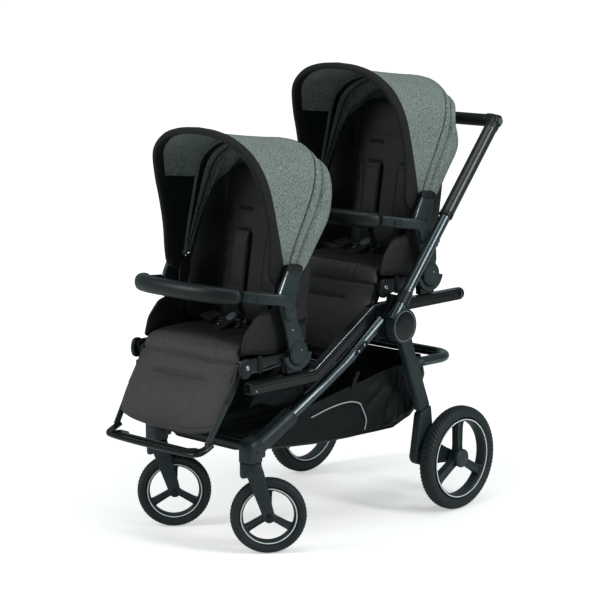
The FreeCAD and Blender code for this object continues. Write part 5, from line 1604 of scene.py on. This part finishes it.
def legrest_metal(word, at):
    """Two legs, each a moulded sleeve above and a slimmer flat rod below, and the glossy foot bar
    with its pale front edge."""
    shape = Surfaces()
    for side in (1, -1):
        line = eased([(side * 174, -381, 482), (side * 174, -392, 452), (side * 174, -412, 420),
                      (side * 174, -428, 395)], 26)
        shape.sweep(line, oval(5.6, 10.5, 3.4, 24), dark_plastic, up=(0, -1, 0.4))
        rod = [(side * 174, -424, 400), (side * 171, -455, 352), (side * 167, -488, 300)]
        shape.sweep(eased(rod, 20), oval(4.2, 8.6, 3.4, 24), casting, up=(0, -1, 0.4))
        shape.turned(sided([(168, 0.4), (168, 11), (180, 11), (180, 0.4)], side),
                     (0, *LEGREST_PIVOT), X_AXIS, dark_plastic, 28)
        arm = [(side * 166, -478, 300), (side * 166, -500, 291), (side * 146, -517, 284)]
        shape.sweep(arc_line(arm, 16), oval(6.0, 6.6, 3.0, 20), gloss_black)
    half = [(169, -474, 300), (169, -500, 289), (162, -516, 283), (136, -521, 281),
            (70, -523, 280), (0, -523.5, 280)]
    half = np.array(half, float)
    path = eased(mirrored(half), 90)
    shape.sweep(path, oval(8.5, 6.0, 3.0, 24), gloss_black)
    shape.sweep(path[14:-14] + [0, -4.6, -3.0], oval(2.2, 2.6, 2.4, 12), silver)
    deck = [(-161, -512), (161, -512), (154, -484), (120, -484), (112, -498), (-112, -498),
            (-120, -484), (-154, -484)]
    shape.plate(softened(deck, 7), 281.0, 288.5, gloss_black, 3.0, axis=2)
    shape.sweep(arc_line([(174.0, -436, 386), (-174.0, -436, 386)], 1), oval(5.5, 5.5, 2, 16),
                dark_plastic)
    piece(word + "_legrest_legs", moved(shape, at), word + "_legrest", [word + "_legrest_frame"],
          "casting")


def seats():
    """Both seats: frames, arms, pads, harness, bumper bars and leg rests."""
    pads()
    for word, at in SEATS:
        piece(word + "_seat_chair", moved(seat_chair(), at), "chassis", [word + "_seat_frame"],
              "casting")
        flaps = piece(word + "_hip_flaps", moved(joined([side_flap(s) for _, s in SIDES]), at),
                      "chassis", slot="seat_cloth")
        arms(word, at)
        harness(word, at)
        bumper(word, at, word == "rear")
        legrest_metal(word, at)
        hood(word, at)


# ---------------------------------------------------------------------------------------------
# Basket
# ---------------------------------------------------------------------------------------------
BASKET_PLACES = np.array([-332.0, -210.0, -90.0, 50.0, 190.0])
BASKET_HALF = np.array([137.0, 156.0, 171.0, 180.0, 187.0])
BASKET_LOW = np.array([252.0, 239.0, 232.0, 226.0, 222.0])
BASKET_HIGH = np.array([287.0, 318.0, 347.0, 373.0, 398.0])


def basket_rows(places, half, low, high, corner, rows, columns, droop):
    """A cloth trough: each row is a U whose lower corners are rounded, and the floor and the
    edges droop a little between the supports."""
    y = np.linspace(places[0], places[-1], rows)
    w, a, b = (np.interp(y, places, values)[:, None] for values in (half, low, high))
    t = np.linspace(-1.0, 1.0, columns)[None]
    wall = smooth_step(np.abs(t), 0.42, 0.58)
    x = np.sign(t) * np.minimum(np.abs(t) / 0.5, 1.0) ** 0.92 * w
    up = np.clip((np.abs(t) - 0.5) / 0.5, 0.0, 1.0)
    z = a + (b - a) * up
    round_off = np.exp(-((np.abs(t) - 0.5) / 0.07) ** 2)
    x = x - np.sign(t) * corner * 0.32 * round_off
    z = z + corner * 0.26 * round_off
    between = np.sin(np.pi * (y - places[0]) / (places[-1] - places[0]))[:, None]
    z = z - droop * between * (1 - wall) - 0.35 * droop * between * up
    bulge = np.sin(np.pi * up) * wall
    near = smooth_step(y[:, None], -120.0, 160.0)
    fan_y, fan_z = 196.0, 405.0  # the folds run out from here, where the hoop holds the cloth
    away = np.hypot(y[:, None] - fan_y, z - fan_z)
    angle = np.arctan2(fan_z - z, fan_y - y[:, None])
    fan = (np.sin(13.0 * angle + 0.012 * away) + 0.5 * np.sin(23.0 * angle + 1.3)) * np.exp(
        -((away - 95.0) / 85.0) ** 2)
    fold = (3.0 * np.sin(0.030 * (y[:, None] + 2.2 * (z - 300)) + 1.4)
            + 1.2 * np.sin(0.061 * (y[:, None] + 1.6 * (z - 300)) + 0.5 * np.sign(t))
            + 4.6 * near * fan)
    x = x + np.sign(t) * (3.0 * bulge + fold * (0.25 + 0.75 * bulge)
                          * smooth_step(y[:, None], BASKET_PLACES[0], BASKET_PLACES[0] + 60)
                          - 2.4 * smooth_step(up, 0.8, 1.0))
    return np.stack([x, y[:, None] + 0 * x, z], 2)


def on_wall(wall, side, y, up):
    """A point just outside the tub's side wall, at a share of the way up it."""
    row = int(np.argmin(np.abs(wall[:, 0, 1] - y)))
    return wall[row, int(90 + 30 * up)] + [side * 4.2, 0, 0]


def basket_trims(rows):
    """Edge binding, the pale pocket line, seams and hooks on the tub's side walls."""
    trims = Surfaces()
    for side, column in ((1, -1), (-1, 0)):
        trims.sweep(rows[2:, column] + [side * 0.5, 0, 1.0], oval(2.6, 3.0, 2, 12), webbing)
    for side in (1, -1):
        wall = rows[:, ::-1] if side < 0 else rows
        places = ((-120, 0.74), (-60, 0.80), (0, 0.78), (44, 0.68), (58, 0.55), (64, 0.35),
                  (70, 0.12))
        pocket = eased([on_wall(wall, side, *place) for place in places], 60)
        trims.sweep(pocket, oval(1.7, 1.7, 2, 10), piping)
        base = np.stack([on_wall(wall, side, y, 0.10) for y in np.linspace(-300, 186, 50)])
        trims.sweep(base, oval(1.1, 1.1, 2, 8), webbing)
        places = ((-232, 0.9), (-226, 0.5), (-240, 0.1))
        seam = eased([on_wall(wall, side, *place) for place in places], 20)
        trims.sweep(seam, oval(1.0, 1.0, 2, 8), stitching)
        for y in (-150.0, 20.0):
            top = on_wall(wall, side, y, 0.97)
            hook = eased([top, top + [side * 6, 4, 26], top + [side * 14, 8, 48]], 14)
            strap(trims, hook, (side, 0, 0), 14.0, 2.0, webbing)
    piece("basket_piping", trims, "chassis")


def basket_front_net():
    """The net between the tub's front part and the rails."""
    rows, columns = 24, 14
    mesh = Surfaces()
    for side in (1, -1):
        y = np.linspace(-330.0, -150.0, rows)[:, None]
        v = np.linspace(0.0, 1.0, columns)[None]
        x = side * (176.0 - 22 * v ** 1.5) + 0 * y
        z = 418.0 - (46 + 20 * smooth_step(y, -330, -180)) * v + 3 * np.sin(0.07 * y + 3 * v)
        mesh.grid(np.stack([x, y + 0 * v, z], 2), net, flip=side < 0)
    thing = piece("basket_front_net", mesh, "chassis", solid=0.8)


def basket():
    """The tub with its closed front, the rear panel hung from the hoop, trims and net."""
    rows = basket_rows(BASKET_PLACES, BASKET_HALF, BASKET_LOW, BASKET_HIGH, 34.0, 76, 121, 5.0)
    shape = Surfaces()
    shape.grid(rows, basket_cloth, flip=True)
    edge = rows[0]
    levels = np.linspace(0.0, 1.0, 8)[:, None, None]
    top = np.column_stack([edge[:, 0], edge[:, 1] - 0.5, np.full(len(edge), edge[-1, 2])])
    front = edge[None] * (1 - levels) + top[None] * levels
    shape.grid(front, basket_cloth)
    tub = piece("basket_tub_cloth", shape, "chassis", ["basket_tub"], "basket_cloth", solid=2.0)
    y = np.array([191.0, 250.0, 300.0, 335.0, 352.0])
    panel = basket_rows(y, np.array([188.0, 192.0, 180.0, 152.0, 122.0]),
                        np.array([224.0, 246.0, 268.0, 284.0, 292.0]), np.full(5, 398.5), 34.0, 36,
                        121, 2.0)
    last = panel[-1]
    back_top = np.column_stack([last[:, 0] * 0.985, last[:, 1] + 4.0, np.full(len(last), 398.5)])
    close = last[None] * (1 - levels) + back_top[None] * levels
    across = ("chassis", "rear_frame", metres(0, 200, 330), metres(0, 380, 380))
    sheet("basket_rear_cloth", np.concatenate([panel, close[1:]]), basket_cloth, across, "hung",
          ["basket_hoop"], ["basket_panel"], "basket_cloth", flip=True, solid=2.0)
    basket_trims(rows)
    basket_front_net()


# ---------------------------------------------------------------------------------------------
# The whole scene
# ---------------------------------------------------------------------------------------------
camera()
light()
floor()
wheels()
chassis()
seats()
basket()
